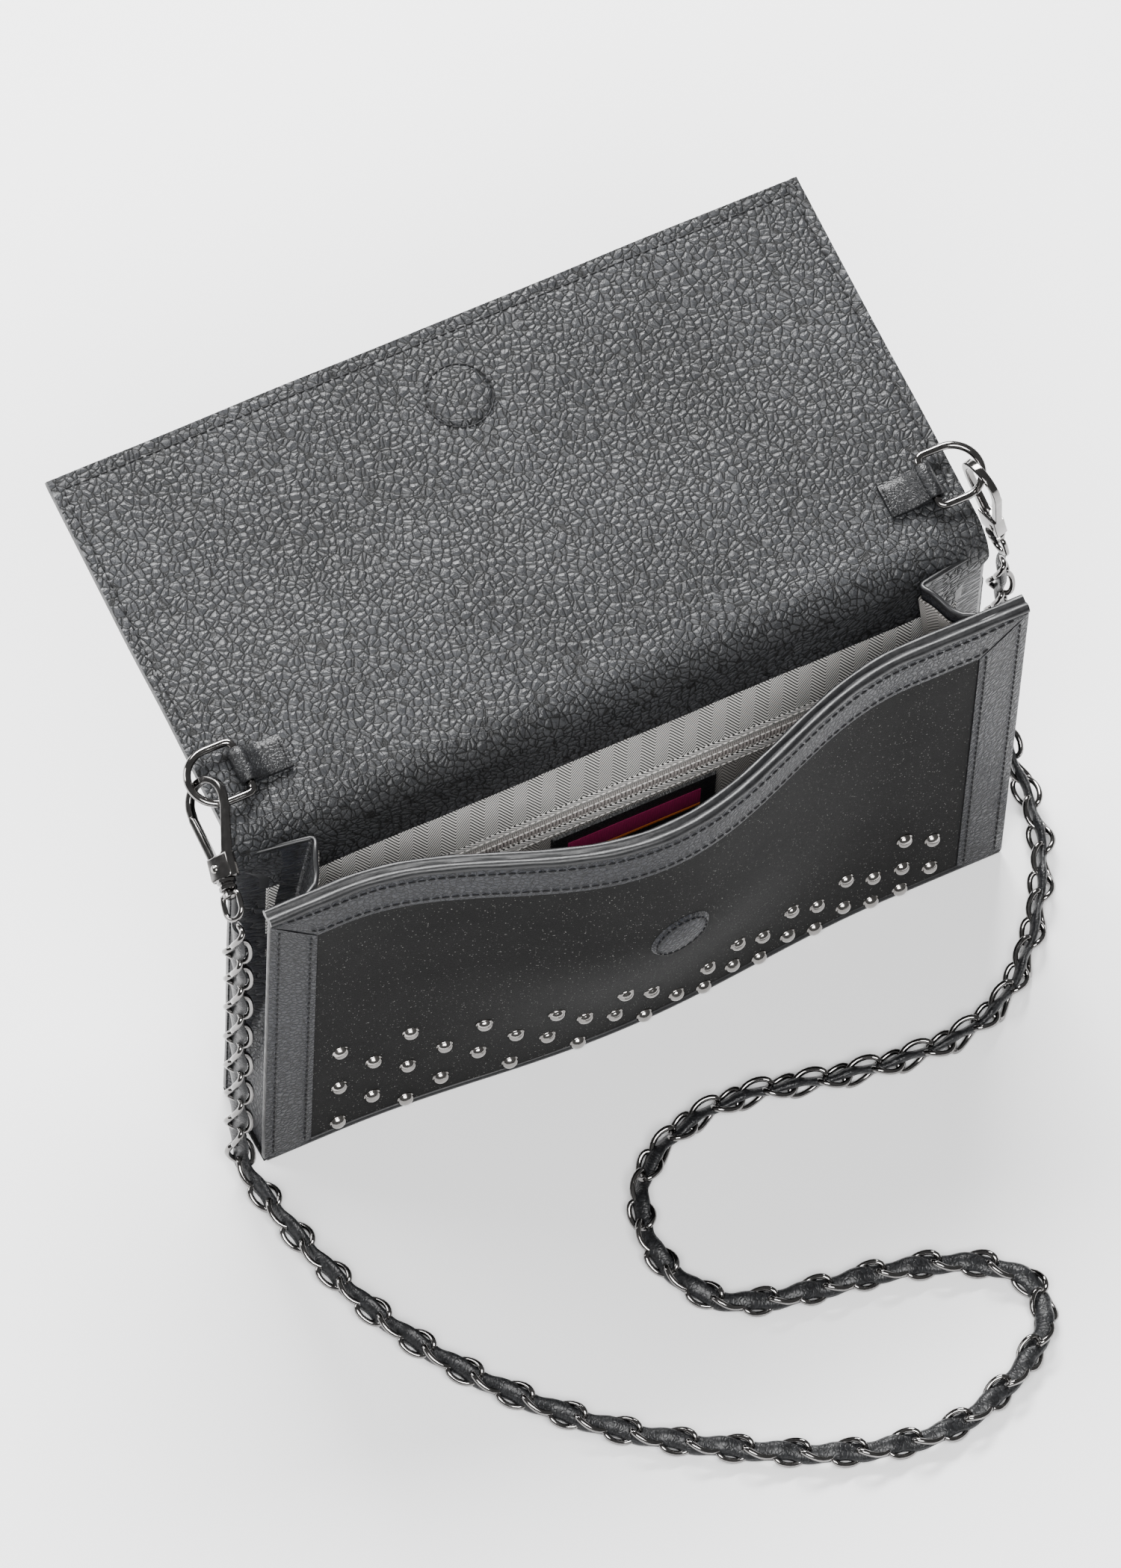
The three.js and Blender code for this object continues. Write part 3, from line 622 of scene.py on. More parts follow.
def add_flap():
    us = dense(-FLAP_HALF, FLAP_HALF, 5, (-STITCH_X, STITCH_X))
    vs = dense(FLAP_SEAM, FLAP_END, 4, (FLAP_END - FLAP_STITCH,))

    def dip(x, y):
        far = 0.35 * math.exp(-(((FLAP_END - FLAP_STITCH - y) / 0.9) ** 2))
        return max(groove(x), far)

    def inside(x, y):
        return flap_point(x, y, 1.7 + flap_height(x, y) - dip(x, y))

    def outside(x, y):
        return flap_point(x, y, -1.7 + flap_height(x, y) + dip(x, y))

    sheet = slab("flap_leather", us, vs, inside, outside, [LEATHER, EDGE], rim=0.5)
    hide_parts("front_fold", "flap_outer", "flap_core", "flap_lining", "flap_magnet")
    blend_front_fold(sheet)
    for side, z in (("inside", 1.7), ("outside", -1.7)):
        sign = 1 if z > 0 else -1
        path = []
        corners = [(-STITCH_X, FLAP_SEAM), (-STITCH_X, FLAP_END - FLAP_STITCH),
                   (STITCH_X, FLAP_END - FLAP_STITCH), (STITCH_X, FLAP_SEAM)]
        for (xa, ya), (xb, yb) in zip(corners[:-1], corners[1:]):
            for k in np.linspace(0, 1, 60):
                x, y = xa + (xb - xa) * k, ya + (yb - ya) * k
                path.append(flap_point(x, y, z + flap_height(x, y) - sign * 0.2))
        row = stitches(f"flap_stitches_{side}", path)
        blend_front_fold(row)


def blend_front_fold(obj):
    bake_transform(obj)


COVER_RADIUS, COVER_TURNS = 11.3, 40
FLAP_COVER_Y, FRONT_COVER_Z = 115, 90


def cover_disc(name, profile, place, look, flat_uv):
    """A low round cover from (share of its radius, height) pairs. The first pair is its centre."""
    rings = len(profile) - 1
    points = [place(0.0, 0.0, profile[0][1])]
    points += turned(profile[1:], COVER_TURNS,
                     lambda c, s, r, h: place(r * COVER_RADIUS * c, r * COVER_RADIUS * s, h))
    faces = [(0, 1 + k, 1 + (k + 1) % COVER_TURNS) for k in range(COVER_TURNS)]
    faces += ring_faces(rings, COVER_TURNS, start=1)
    faces.append(tuple(range(1 + (rings - 1) * COVER_TURNS, 1 + rings * COVER_TURNS)))
    uvs = [(p[0], p[1]) for p in points] if flat_uv else None
    return new_object(name, points, faces, [look], uvs=uvs, sharp=70)


def add_flap_cover():
    def place(x, y, height):
        y = FLAP_COVER_Y + y
        return flap_point(x, y, 2.15 + flap_height(x, y) + height)

    profile = [(0.0, 0.75), (0.3, 0.75), (0.6, 0.7), (0.8, 0.55), (0.9, 0.2), (0.965, -0.25), (1.0, -0.6)]
    cover = cover_disc("flap_cover_leather", profile, place, LEATHER, flat_uv=True)
    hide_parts("flap_magnet_cover")
    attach(cover, "flap_main")
    circle = []
    radius = COVER_RADIUS + 0.3
    for a in np.linspace(0, 2 * math.pi, 60):
        x, y = radius * math.cos(a), FLAP_COVER_Y + radius * math.sin(a)
        circle.append(flap_point(x, y, 1.9 + flap_height(x, y)))
    row = stitches("flap_cover_stitches", circle, pitch=2.6, length=2.1, radius=0.38)
    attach(row, "flap_main")


# ---------------------------------------------------------------- front
def bulge(x, z):
    """How far the soft front stands out at a place."""
    across = (x - BULGE_CENTRE) / BULGE_HALF
    if abs(across) >= 1:
        return 0.0
    reach = BULGE_BASE + (BULGE_RIM - BULGE_BASE) * ease(z / BULGE_FULL_Z)
    return reach * math.cos(across * math.pi / 2) ** 2


def front(x, z, offset=0.0):
    return (x, FRONT_Y - bulge(x, z) + offset, z)


def flatten(obj):
    """Hangs the piece on the bag with a mesh of its own. The soft front lies flat when the flap is closed;
    that pose is not built here.
    """
    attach(obj, "bag")
    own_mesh(obj)


INNER_X = HALF_WIDTH - SIDE_TRIM


def mitre(x):
    """Lower edge of the top band, which rises across the side bands."""
    along = min(max((abs(x) - INNER_X) / SIDE_TRIM, 0), 1)
    return PANEL_TOP + (TRIM_TOP - PANEL_TOP) * along


def add_front_panel():
    us = dense(-INNER_X, INNER_X, 4)
    vs = dense(2.0, PANEL_TOP, 4)
    panel = slab("front_suede", us, vs, lambda x, z: front(x, z, ripple(x, z, 0.22)),
                 lambda x, z: front(x, z, 1.5), [SUEDE, SUEDE], rim=0.1)
    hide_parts("front_suede_panel")
    flatten(panel)


def add_front_trims():
    us = dense(-HALF_WIDTH + 0.6, HALF_WIDTH - 0.6, 4, (-INNER_X, INNER_X))
    shares = [0, 0.06, 0.12, 0.18, 0.3, 0.5, 0.7, 0.82, 0.88, 0.94, 1]

    def top_trim(offset):
        def face(x, t):
            low = mitre(x)
            z = low + (TRIM_TOP + 0.3 - low) * t
            plump = 0.5 * math.sin(math.pi * min(max(t, 0), 1)) ** 0.5 if offset < 0 else 0
            return front(x, z, offset - plump)
        return face

    band = slab("front_top_band", us, shares, top_trim(-0.6), top_trim(1.8), [TRIM, EDGE],
                uv=lambda x, t: (x, PANEL_TOP + t * 18), rim=0.45)
    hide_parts("front_top_trim")
    flatten(band)
    for side, sign in SIDES:
        across = [INNER_X + 0.2 + d for d in (0, 0.8, 1.6, 2.6, 4, 7, 10, 12.5, 14, 15, 16, 16.8, 17.3)]
        stations = [0, 0.02, 0.04] + list(np.linspace(0.08, 0.96, 28)) + [0.98, 1]

        def strip(offset, sign=sign):
            def face(x, t):
                z = 2.0 + (mitre(x) - 0.35 - 2.0) * t
                shape = math.sin(math.pi * min(max((x - INNER_X) / SIDE_TRIM, 0), 1)) ** 0.5
                return front(sign * x, z, offset - (0.45 * shape if offset < 0 else 0))
            return face

        bar = slab(f"front_side_band_{side}", across, stations, strip(-0.55), strip(1.8), [TRIM, EDGE],
                   uv=lambda x, t: (x, t * 155), rim=0.4)
        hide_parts(f"front_side_trim_{side}")
        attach(bar, "bag")
        for place, inset in (("inner", 2.6), ("outer", 14.4)):
            x = INNER_X + inset
            path = [front(sign * x, z, -1.0) for z in np.linspace(4, mitre(x) - 2, 60)]
            row = stitches(f"front_side_stitches_{place}_{side}", path)
            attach(row, "bag")
    for place, t in (("low", 0.16), ("high", 0.86)):
        path = []
        reach = INNER_X + (3 if t < 0.5 else 12)
        for x in np.linspace(-reach, reach, 220):
            low = mitre(x)
            path.append(front(x, low + (TRIM_TOP - low) * t, -1.08))
        row = stitches(f"front_top_stitches_{place}", path)
        flatten(row)


RIM_SECTION = (
    (-0.7, 158.2), (-1.1, 159.2), (-0.9, 160.2), (-0.1, 161.0), (0.9, 161.2), (1.9, 160.7), (2.5, 160.2),
    (3.0, 160.6), (3.7, 161.1), (4.6, 161.1), (5.3, 160.5), (5.6, 159.6), (5.3, 158.6), (4.4, 158.1),
    (2.0, 158.0))


def swept_rim(name, xs, look):
    """The rolled rim: one section swept across the mouth."""
    count = len(RIM_SECTION)
    points, uvs = [], []
    for x in xs:
        for k, (offset, z) in enumerate(RIM_SECTION):
            points.append(front(x, z, offset + 0.12 * math.sin(x * 0.35 + k)))
            uvs.append((x, k * 0.9))
    faces = ring_faces(len(xs), count) + end_faces(len(xs), count, 1, -1)
    return new_object(name, points, faces, [look], uvs=uvs, sharp=70)


def add_rim():
    xs = dense(-HALF_WIDTH, HALF_WIDTH, 2.5)
    rim = swept_rim("front_rim_roll", xs, EDGE)
    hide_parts("front_rim_binding")
    flatten(rim)


def add_front_lining():
    us = dense(-118, 118, 5)
    vs = dense(5, TRIM_TOP, 5)
    lining = slab("front_inner_lining", us, vs, lambda x, z: front(x, z, 4.2),
                  lambda x, z: front(x, z, 5.1 + ripple(x, z, 0.3)), [CLOTH, CLOTH], rim=0.1)
    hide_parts("front_lining", "front_magnet")
    flatten(lining)


def add_front_patch():
    """The stitched leather disc over the front magnet."""
    profile = [(0.0, -1.7), (0.4, -1.65), (0.7, -1.5), (0.85, -1.25), (0.94, -0.9), (1.0, -0.1)]
    patch = cover_disc("front_patch", profile, lambda x, y, height: front(x, FRONT_COVER_Z + y, height),
                       TRIM, flat_uv=False)
    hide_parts("front_magnet_cover")
    flatten(patch)
    radius = COVER_RADIUS - 1.4
    circle = [front(radius * math.cos(a), FRONT_COVER_Z + radius * math.sin(a), -1.5)
              for a in np.linspace(0, 2 * math.pi, 60)]
    row = stitches("front_patch_stitches", circle, pitch=2.6, length=2.1, radius=0.36)
    flatten(row)


STUD_PROFILE = ((3.1, -0.3), (3.1, 0.2), (3.0, 0.45), (2.85, 0.55), (2.75, 0.95), (2.45, 1.5), (1.95, 2.0),
                (1.3, 2.35), (0.6, 2.52), (0.0, 2.56))
STUD_COLUMNS = 10
LEFT_START, LEFT_COLUMN, LEFT_ROW, ROW_SAG = -112.5, 12.5, 23.7, 14.0
RIGHT_START, RIGHT_COLUMN, RIGHT_ROW, RIGHT_ROWS = 12, 11.1, 18.3, 3
LOWEST_STUD = 3.8


def stud_places():
    """Columns of three and two in turn, sagging where the front bulges, then a lower run to the right."""
    for column in range(STUD_COLUMNS):
        x = LEFT_START + LEFT_COLUMN * column
        sag = ROW_SAG * bulge(x, 0) / BULGE_BASE
        first, count = (6.6, 3) if column % 2 == 0 else (16.0, 2)
        for row in range(count):
            z = first + LEFT_ROW * row - sag
            if z > 1:
                yield x, max(z, LOWEST_STUD)
    for column in range(STUD_COLUMNS):
        x = RIGHT_START + RIGHT_COLUMN * column
        first = (9.0 if column % 2 == 0 else 1.5) - (9.3 if column > 7 else 0)
        for row in range(RIGHT_ROWS):
            z = first + RIGHT_ROW * row
            if -1.5 < z < 24 + 0.13 * x:
                yield x, max(z, LOWEST_STUD)


def add_studs():
    turns = 20
    rings = len(STUD_PROFILE) - 1
    for number, (x, z) in enumerate(stud_places()):
        seat = np.array(front(x, z))
        du = np.array(front(x + 0.5, z)) - np.array(front(x - 0.5, z))
        dv = np.array(front(x, z + 0.5)) - np.array(front(x, z - 0.5))
        du, dv = du / np.linalg.norm(du), dv / np.linalg.norm(dv)
        out = np.cross(du, dv)
        out = out / np.linalg.norm(out)
        out = out if out[1] < 0 else -out
        dv = np.cross(out, du)
        points = turned(STUD_PROFILE[:-1], turns, lambda c, s, r, h: seat + r * (c * du + s * dv) + h * out)
        points.append(seat + STUD_PROFILE[-1][1] * out)
        faces = [tuple(range(turns))] + ring_faces(rings, turns)
        last = (rings - 1) * turns
        faces += [(last + k, last + (k + 1) % turns, last + turns) for k in range(turns)]
        stud = new_object(f"stud_{number:02d}", points, faces, [STUD_METAL], sharp=50)
        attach(stud, "bag")
        travel = bulge(x, z) * (1 - FRONT_KEEP)
        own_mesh(stud)


# ---------------------------------------------------------------- base, back and gussets
def add_base():
    us = dense(-HALF_WIDTH, HALF_WIDTH, 6)
    under = slab("base_underside", us, [0, 0.06, 0.5, 0.94, 1],
                 lambda x, t: (x, FRONT_Y + (BACK_Y - FRONT_Y) * t, 0.0),
                 lambda x, t: (x, FRONT_Y + (BACK_Y - FRONT_Y) * t, 1.8), [SUEDE, SUEDE],
                 uv=lambda x, t: (x, t * 31), rim=0.1)
    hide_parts("base_panel")
    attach(under, "bag")
    half = BULGE_HALF - 0.5
    xs = dense(BULGE_CENTRE - half, BULGE_CENTRE + half, 6)
    lip = slab("base_front_lip", xs, [0, 0.5, 1],
               lambda x, t: (x, FRONT_Y - bulge(x, 0) * t, 0.1),
               lambda x, t: (x, FRONT_Y - bulge(x, 0) * t, 2.0), [SUEDE, SUEDE],
               uv=lambda x, t: (x, -t * 6), rim=0.1)
    flatten(lip)
    piping = [front(x, 1.6, 0.2) for x in dense(-HALF_WIDTH + 1, HALF_WIDTH - 1, 4)]
    foot = tube("base_piping", piping, 1.25, EDGE)
    flatten(foot)
    inside = slab("base_inner_lining", dense(-133, 133, 6), [-11.3, -5, 0, 5, 9.3],
                  lambda x, y: (x, y, 3.6), lambda x, y: (x, y, 4.4 + 0.3 * ripple(x, y)),
                  [SHADED_CLOTH, SHADED_CLOTH], rim=0.1)
    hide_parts("base_lining")
    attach(inside, "bag")


def add_back():
    us = dense(-HALF_WIDTH, HALF_WIDTH, 6, (-STITCH_X, STITCH_X))
    vs = dense(2.1, BACK_PANEL_TOP, 5)

    def outside(x, z):
        return (x, BACK_Y - groove(x) + ripple(x, z, 0.25) * ease((BACK_PANEL_TOP - z) / 20), z)

    panel = slab("back_leather", us, vs, outside, lambda x, z: (x, 13.9, z), [LEATHER, EDGE], rim=0.2)
    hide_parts("back_panel")
    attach(panel, "bag")
    for side, sign in SIDES:
        line = [(sign * STITCH_X, BACK_Y - 0.15, z) for z in np.linspace(4, 132, 50)]
        row = stitches(f"back_stitches_{side}", line)
        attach(row, "bag")


GUSSET_YS = (-13.9, -12.4, -10.5, -7.5, -3.5, 0.5, 4.0, 6.8, 8.4, 9.4, 10.6, 12.3, 13.8)
GUSSET_DEPTHS = (0, 7.5, 14.5, 19.0, 21.5, 23.0, 24.6, 25.9, 26.2, 25.2, 20.0, 10.0, 0)


def gusset_depth(y, z):
    share = (max(z, 0.5) / GUSSET_TOP) ** 0.8
    return float(np.interp(y, GUSSET_YS, GUSSET_DEPTHS)) * share


def add_gussets():
    ys = resample([(y, 0, 0) for y in GUSSET_YS], 0.9)[:, 0]
    zs = dense(2.1, GUSSET_TOP, 7)
    for side, sign in SIDES:
        def wall(inset, pinch=1.0, sign=sign):
            def face(y, z):
                depth = gusset_depth(y, z)
                yy = y * pinch
                wave = 0.8 * math.sin(y * 0.35) * ease(z / 150)
                return (sign * (HALF_WIDTH - 0.6 - depth - inset), yy, z + wave)
            return face
        leather = slab(f"gusset_leather_{side}", ys, zs, wall(0), wall(1.5, 0.93), [TRIM, EDGE], rim=0.55)
        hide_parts(f"gusset_{side}")
        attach(leather, "bag")
        edge_path = [wall(0.75, 0.965)(y, GUSSET_TOP + 0.2) for y in ys]
        bead = tube(f"gusset_edge_{side}", edge_path, 1.05, EDGE)
        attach(bead, "bag")
        inner_ys = [y for y in ys if abs(y) <= 10.2]
        cloth = slab(f"gusset_cloth_{side}", inner_ys, dense(5, GUSSET_TOP - 6, 7), wall(2.1, 0.93),
                     wall(2.9, 0.9), [SHADED_CLOTH, SHADED_CLOTH], rim=0.1)
        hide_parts(f"gusset_lining_{side}")
        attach(cloth, "bag")


def add_inner_back():
    low, high = ZIP_Z - 4.9, ZIP_Z + 4.9

    def wall(name, z0, z1, look, node):
        def face(x, z):
            edge = ease((z1 - z) / 6) * ease((z - z0) / 6)
            return (x, FACING_Y + 0.25 * ripple(x, z) * edge, z)
        piece = slab(name, dense(-128, 128, 5), dense(z0, z1, 3), face, lambda x, z: (x, 11.6, z),
                     [look, look], rim=0.1)
        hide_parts(node)
        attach(piece, "bag")

    wall("lining_upper", high + 0.3, FACING_BOTTOM + 0.4, CLOTH, "back_lining_upper")
    wall("lining_lower", 5, low - 0.3, SHADED_CLOTH, "back_lining_lower")
    for name, z, look in (("upper", high + 1.5, CLOTH), ("lower", low - 1.5, CLOTH)):
        welt = slab(f"zip_welt_{name}", dense(-92, 119, 5), [-2.2, -1.4, 0, 1.4, 2.2],
                    lambda x, t, z=z: (x, 10.0 - 0.5 * math.cos(t / 2.2 * math.pi / 2), z + t),
                    lambda x, t, z=z: (x, 10.5, z + t), [look, look], uv=lambda x, t: (t * 1.6, x), rim=0.15)
        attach(welt, "bag")
        sign = 1 if name == "upper" else -1
        line = [(x, 9.5, z + sign * 0.5) for x in np.linspace(-91, 118, 90)]
        row = stitches(f"zip_welt_stitches_{name}", line, PALE_THREAD, pitch=2.4, length=1.8, radius=0.26)
        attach(row, "bag")


def add_zip():
    for name, sign in (("upper", 1), ("lower", -1)):
        tape = slab(f"tape_{name}", dense(-90, 117, 6), [0.2, 0.9, 2.0, 3.4, 4.9],
                    lambda x, t, sign=sign: (x, 10.3 - 0.25 * math.sin(t), ZIP_Z + sign * t),
                    lambda x, t, sign=sign: (x, 11.3, ZIP_Z + sign * t), [TAPE, TAPE], rim=0.05)
        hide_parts(f"zip_tape_{name}")
        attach(tape, "bag")
        parts = []
        for x in np.arange(-86.5, 114, 1.3):
            loop = [(x, 10.2, ZIP_Z + sign * 1.7), (x, 9.6, ZIP_Z + sign * 1.2), (x, 9.5, ZIP_Z + sign * 0.3),
                    (x, 9.9, ZIP_Z - sign * 0.35)]
            parts.append(tube_arrays(loop, 0.42, 6))
        verts, faces = join_arrays(parts)
        coil = new_object(f"coil_{name}", verts, faces, [COIL], sharp=80)
        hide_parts(f"zip_coil_{name}")
        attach(coil, "bag")
        line = [(x, 9.75, ZIP_Z + sign * 1.95) for x in np.linspace(-87, 114, 90)]
        row = stitches(f"coil_stitches_{name}", line, PALE_THREAD, pitch=2.0, length=1.75, radius=0.33)
        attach(row, "bag")


def rounded_box(name, low, high, look, bevel):
    work = bmesh.new()
    bmesh.ops.create_cube(work, size=1)
    size = [b - a for a, b in zip(low, high)]
    centre = [(a + b) / 2 for a, b in zip(low, high)]
    for v in work.verts:
        v.co = Vector([centre[k] + v.co[k] * size[k] for k in range(3)])
    bmesh.ops.bevel(work, geom=work.edges[:], offset=bevel, segments=3, profile=0.5, affect="EDGES")
    work.verts.index_update()
    points = [tuple(v.co) for v in work.verts]
    faces = [[v.index for v in f.verts] for f in work.faces]
    work.free()
    return new_object(name, points, faces, [look], sharp=60)


def add_slider():
    x, y, z = SLIDER_X, 6.0, ZIP_Z
    plate = rounded_box("slider_plate", (x - 5, 7.5, z - 3.6), (x + 5, 9.3, z + 3.6), GUNMETAL, bevel=0.8)
    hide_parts("zip_slider")
    arch = [(x - 4.2, 8, z), (x - 3.6, 6.2, z), (x - 2, 5.4, z), (x + 1.5, 5.6, z), (x + 3.6, 7.8, z)]
    bridge = tube("slider_bridge", smooth_curve(arch), 0.95, GUNMETAL)
    loop = [(x - 2 + 1.2 * math.cos(a), y, z + 2.4 * math.sin(a))
            for a in np.linspace(0, 2 * math.pi, 20, endpoint=False)]
    ring = tube("pull_ring", loop, 0.5, GUNMETAL, closed=True, up=(0, 1, 0))
    low, high = (x - 17.4, y - 0.8, z - 2.8), (x - 3.0, y + 0.8, z + 2.8)
    pull = rounded_box("pull_tab", low, high, GUNMETAL, bevel=0.7)
    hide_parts("zip_pull")
    riders = ((plate, "zip_slider"), (bridge, "zip_slider"), (ring, "zip_pull"), (pull, "zip_pull"))
    for piece, body in riders:
        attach(piece, body)


def add_label():
    chamfer, half_w, half_h = 5.0, 31.0, 10.0
    outline = [(-half_w, -half_h + chamfer), (-half_w + chamfer, -half_h), (half_w - chamfer, -half_h),
               (half_w, -half_h + chamfer), (half_w, half_h), (-half_w, half_h)]
    cx, cz = LABEL_X, LABEL_Z
    count = len(outline)
    points = [(cx + x, 10.1, cz + z) for x, z in outline]
    points += [(cx + x * 0.985, 9.2, cz + z * 0.95) for x, z in outline]
    faces = end_faces(2, count, 1, -1) + ring_faces(2, count)
    patch = new_object("label_leather", points, faces, [STRAP], sharp=30)
    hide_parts("label_patch")
    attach(patch, "bag")
    for name, z0, z1, look in (("magenta", -4.6, 4.2, MAGENTA), ("orange", -6.4, -5.2, ORANGE)):
        band = rounded_box(
            f"label_band_{name}", (cx - 25, 8.95, cz + z0), (cx + 25, 9.3, cz + z1), look, bevel=0.12)
        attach(band, "bag")


# ---------------------------------------------------------------- rings and hooks
def ring_holder(side):
    """Matrix of the ring's frame: its bar at the origin, its round end towards +X of that frame."""
    sign = -1 if side == "left" else 1
    turn = Matrix.Rotation(math.pi if sign < 0 else 0, 4, "Z")
    local = Matrix.Translation(Vector((RING_BAR[side], TAB_Y, LOOP_Z))) @ turn
    return Matrix.Translation(HINGE) @ Matrix.Rotation(LEAN, 4, "X") @ local


def placed(matrix, points):
    return [tuple(matrix @ Vector(p)) for p in points]


def add_rings():
    for side in ("left", "right"):
        holder = ring_holder(side)
        arc = [(RING_STRAIGHT + RING_BEND * math.cos(a), RING_BEND * math.sin(a), 0)
               for a in np.linspace(-math.pi / 2, math.pi / 2, 25)]
        corner = 2.2
        bar = [(corner * (1 - math.sin(a)), sign * (RING_BEND - corner * (1 - math.cos(a))), 0)
               for sign, angles in ((1, np.linspace(0, math.pi / 2, 6)), (-1, np.linspace(math.pi / 2, 0, 6)))
               for a in angles]
        path = resample(placed(holder, arc + bar + [arc[0]]), 1.2)[:-1]
        up = (holder.to_3x3() @ Vector((0, 0, 1)))
        ring = tube(f"ring_{side}", path, 1.38, GUNMETAL, sides=14, closed=True, up=up)
        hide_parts(f"d_ring_{side}")
        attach(ring, f"d_ring_{side}")
        add_tab(side, holder)


def add_tab(side, holder):
    """The leather loop: once round the ring's bar, its two ends sewn down side by side."""
    outer, inner = 3.1, 1.85
    turn = np.linspace(-math.pi / 2, math.pi * 0.86, 18)
    centre = [(((outer + inner) / 2) * math.cos(a), ((outer + inner) / 2) * math.sin(a)) for a in turn]
    centre += [(-5.0, -0.55), (-8.0, -1.7), (-16.0, -1.95)]
    line = smooth_curve([(x, 0, z) for x, z in [(-16.0, -2.55), (-8, -2.5), (-3, -2.5)] + centre], 4)
    half = (outer - inner) / 2
    wide = 6.3
    p, tangent, _, _ = path_frames(line, up=(0, 1, 0))
    points, uvs = [], []
    section = [(-wide, 0), (-wide + 0.35, half), (-wide * 0.5, half * 1.15), (0, half * 1.2),
               (wide * 0.5, half * 1.15), (wide - 0.35, half), (wide, 0), (wide - 0.35, -half), (0, -half),
               (-wide + 0.35, -half)]
    run = 0.0
    for i, (q, t) in enumerate(zip(p, tangent)):
        normal = np.array((t[2], 0, -t[0]))
        run += float(np.linalg.norm(q - p[i - 1])) if i else 0.0
        for y, n in section:
            points.append(q + np.array((0, y, 0)) + normal * n)
            uvs.append((y, run))
    count = len(section)
    faces = ring_faces(len(p), count) + end_faces(len(p), count)
    tab = new_object(f"tab_leather_{side}", placed(holder, points), faces, [STRAP], uvs=uvs, sharp=60)
    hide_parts(f"ring_tab_{side}")
    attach(tab, "flap_top")
    for number, (x, z) in enumerate(((-15.0, -1.1), (-9.0, -1.15))):
        row = placed(holder, [(x, y, z) for y in np.linspace(-4.6, 4.6, 8)])
        thread = stitches(f"tab_stitches_{side}_{number}", row, pitch=1.9, length=1.5, radius=0.3)
        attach(thread, "flap_top")


# the eye's end of each hook, and which way its flat face looks
HOOKS = {
    "left": (Vector((-149.5, -9, 161.5)), Vector((-0.76, 0.02, 0.63))),
    "right": (Vector((152.5, 23, 128)), Vector((0.96, 0.2, 0.16))),
}


def hook_matrix(side):
    """The hook's frame: the ring passes through the origin, +Y is the crown, +Z the flat face."""
    sign = -1 if side == "left" else 1
    corner = RING_BEND * math.sqrt(0.5)
    x = RING_BAR[side] + sign * (RING_STRAIGHT + corner)
    contact = Vector(flap_point(x, TAB_Y - corner, LOOP_Z))
    eye, face = HOOKS[side]
    crown = (contact - eye).normalized()
    normal = (face - crown * face.dot(crown)).normalized()
    across = crown.cross(normal)
    return Matrix.Translation(contact) @ Matrix((across, crown, normal)).transposed().to_4x4()


def extruded(name, matrix, outline, low, high, look, bevel=0.35, holes=()):
    """A bevelled plate in the hook's XY plane."""
    curve = bpy.data.curves.new(name, "CURVE")
    curve.dimensions = "2D"
    curve.fill_mode = "BOTH"
    for loop in [outline, *holes]:
        spline = curve.splines.new("POLY")
        spline.points.add(len(loop) - 1)
        for point, (x, y) in zip(spline.points, loop):
            point.co = (x, y, 0, 1)
        spline.use_cyclic_u = True
    curve.extrude = max((high - low) / 2 - bevel, 0.01)
    curve.bevel_depth = bevel
    curve.bevel_resolution = 3
    curve.offset = -bevel
    holder = bpy.data.objects.new(name + "_curve", curve)
    bpy.context.scene.collection.objects.link(holder)
    bpy.context.view_layer.update()
    mesh = bpy.data.meshes.new_from_object(holder.evaluated_get(bpy.context.evaluated_depsgraph_get()))
    points = [tuple(matrix @ (v.co + Vector((0, 0, (low + high) / 2)))) for v in mesh.vertices]
    faces = [tuple(f.vertices) for f in mesh.polygons]
    bpy.data.objects.remove(holder)
    bpy.data.curves.remove(curve)
    bpy.data.meshes.remove(mesh)
    obj = new_object(name, points, faces, [look], sharp=40)
    work = bmesh.new()
    work.from_mesh(obj.data)
    bmesh.ops.remove_doubles(work, verts=work.verts, dist=1e-6)
    bmesh.ops.recalc_face_normals(work, faces=work.faces)
    work.to_mesh(obj.data)
    work.free()
    return obj


def lathe(name, matrix, profile, look, turns=20):
    """A turned piece about the hook's Y axis, from (radius, y) pairs."""
    points = turned(profile, turns, lambda c, s, r, y: (r * c, y, r * s))
    faces = ring_faces(len(profile), turns) + end_faces(len(profile), turns, 1, 1)
    return new_object(name, placed(matrix, points), faces, [look], sharp=45)


def hook_outline():
    """The teardrop's outer line and the hole inside it."""
    ring_y, hole, outer = -0.3, 6.5, 8.8
    arc = np.linspace(0, math.pi, 25)
    out = [(outer * math.cos(a), ring_y + outer * math.sin(a)) for a in arc]
    out += [(-8.5, -4.0), (-4.6, -19.5), (-4.5, -26.2), (-3.9, -27.2)]
    out += [(3.9, -27.2), (4.5, -26.2), (4.6, -19.5), (8.5, -4.0)]
    inn = [(hole * math.cos(a), ring_y + hole * math.sin(a)) for a in arc]
    inn += [(-6.3, -3.6), (-2.3, -18.0), (-1.4, -18.8), (1.0, -18.8), (1.9, -18.0), (6.3, -3.6)]
    return out, inn[::-1]


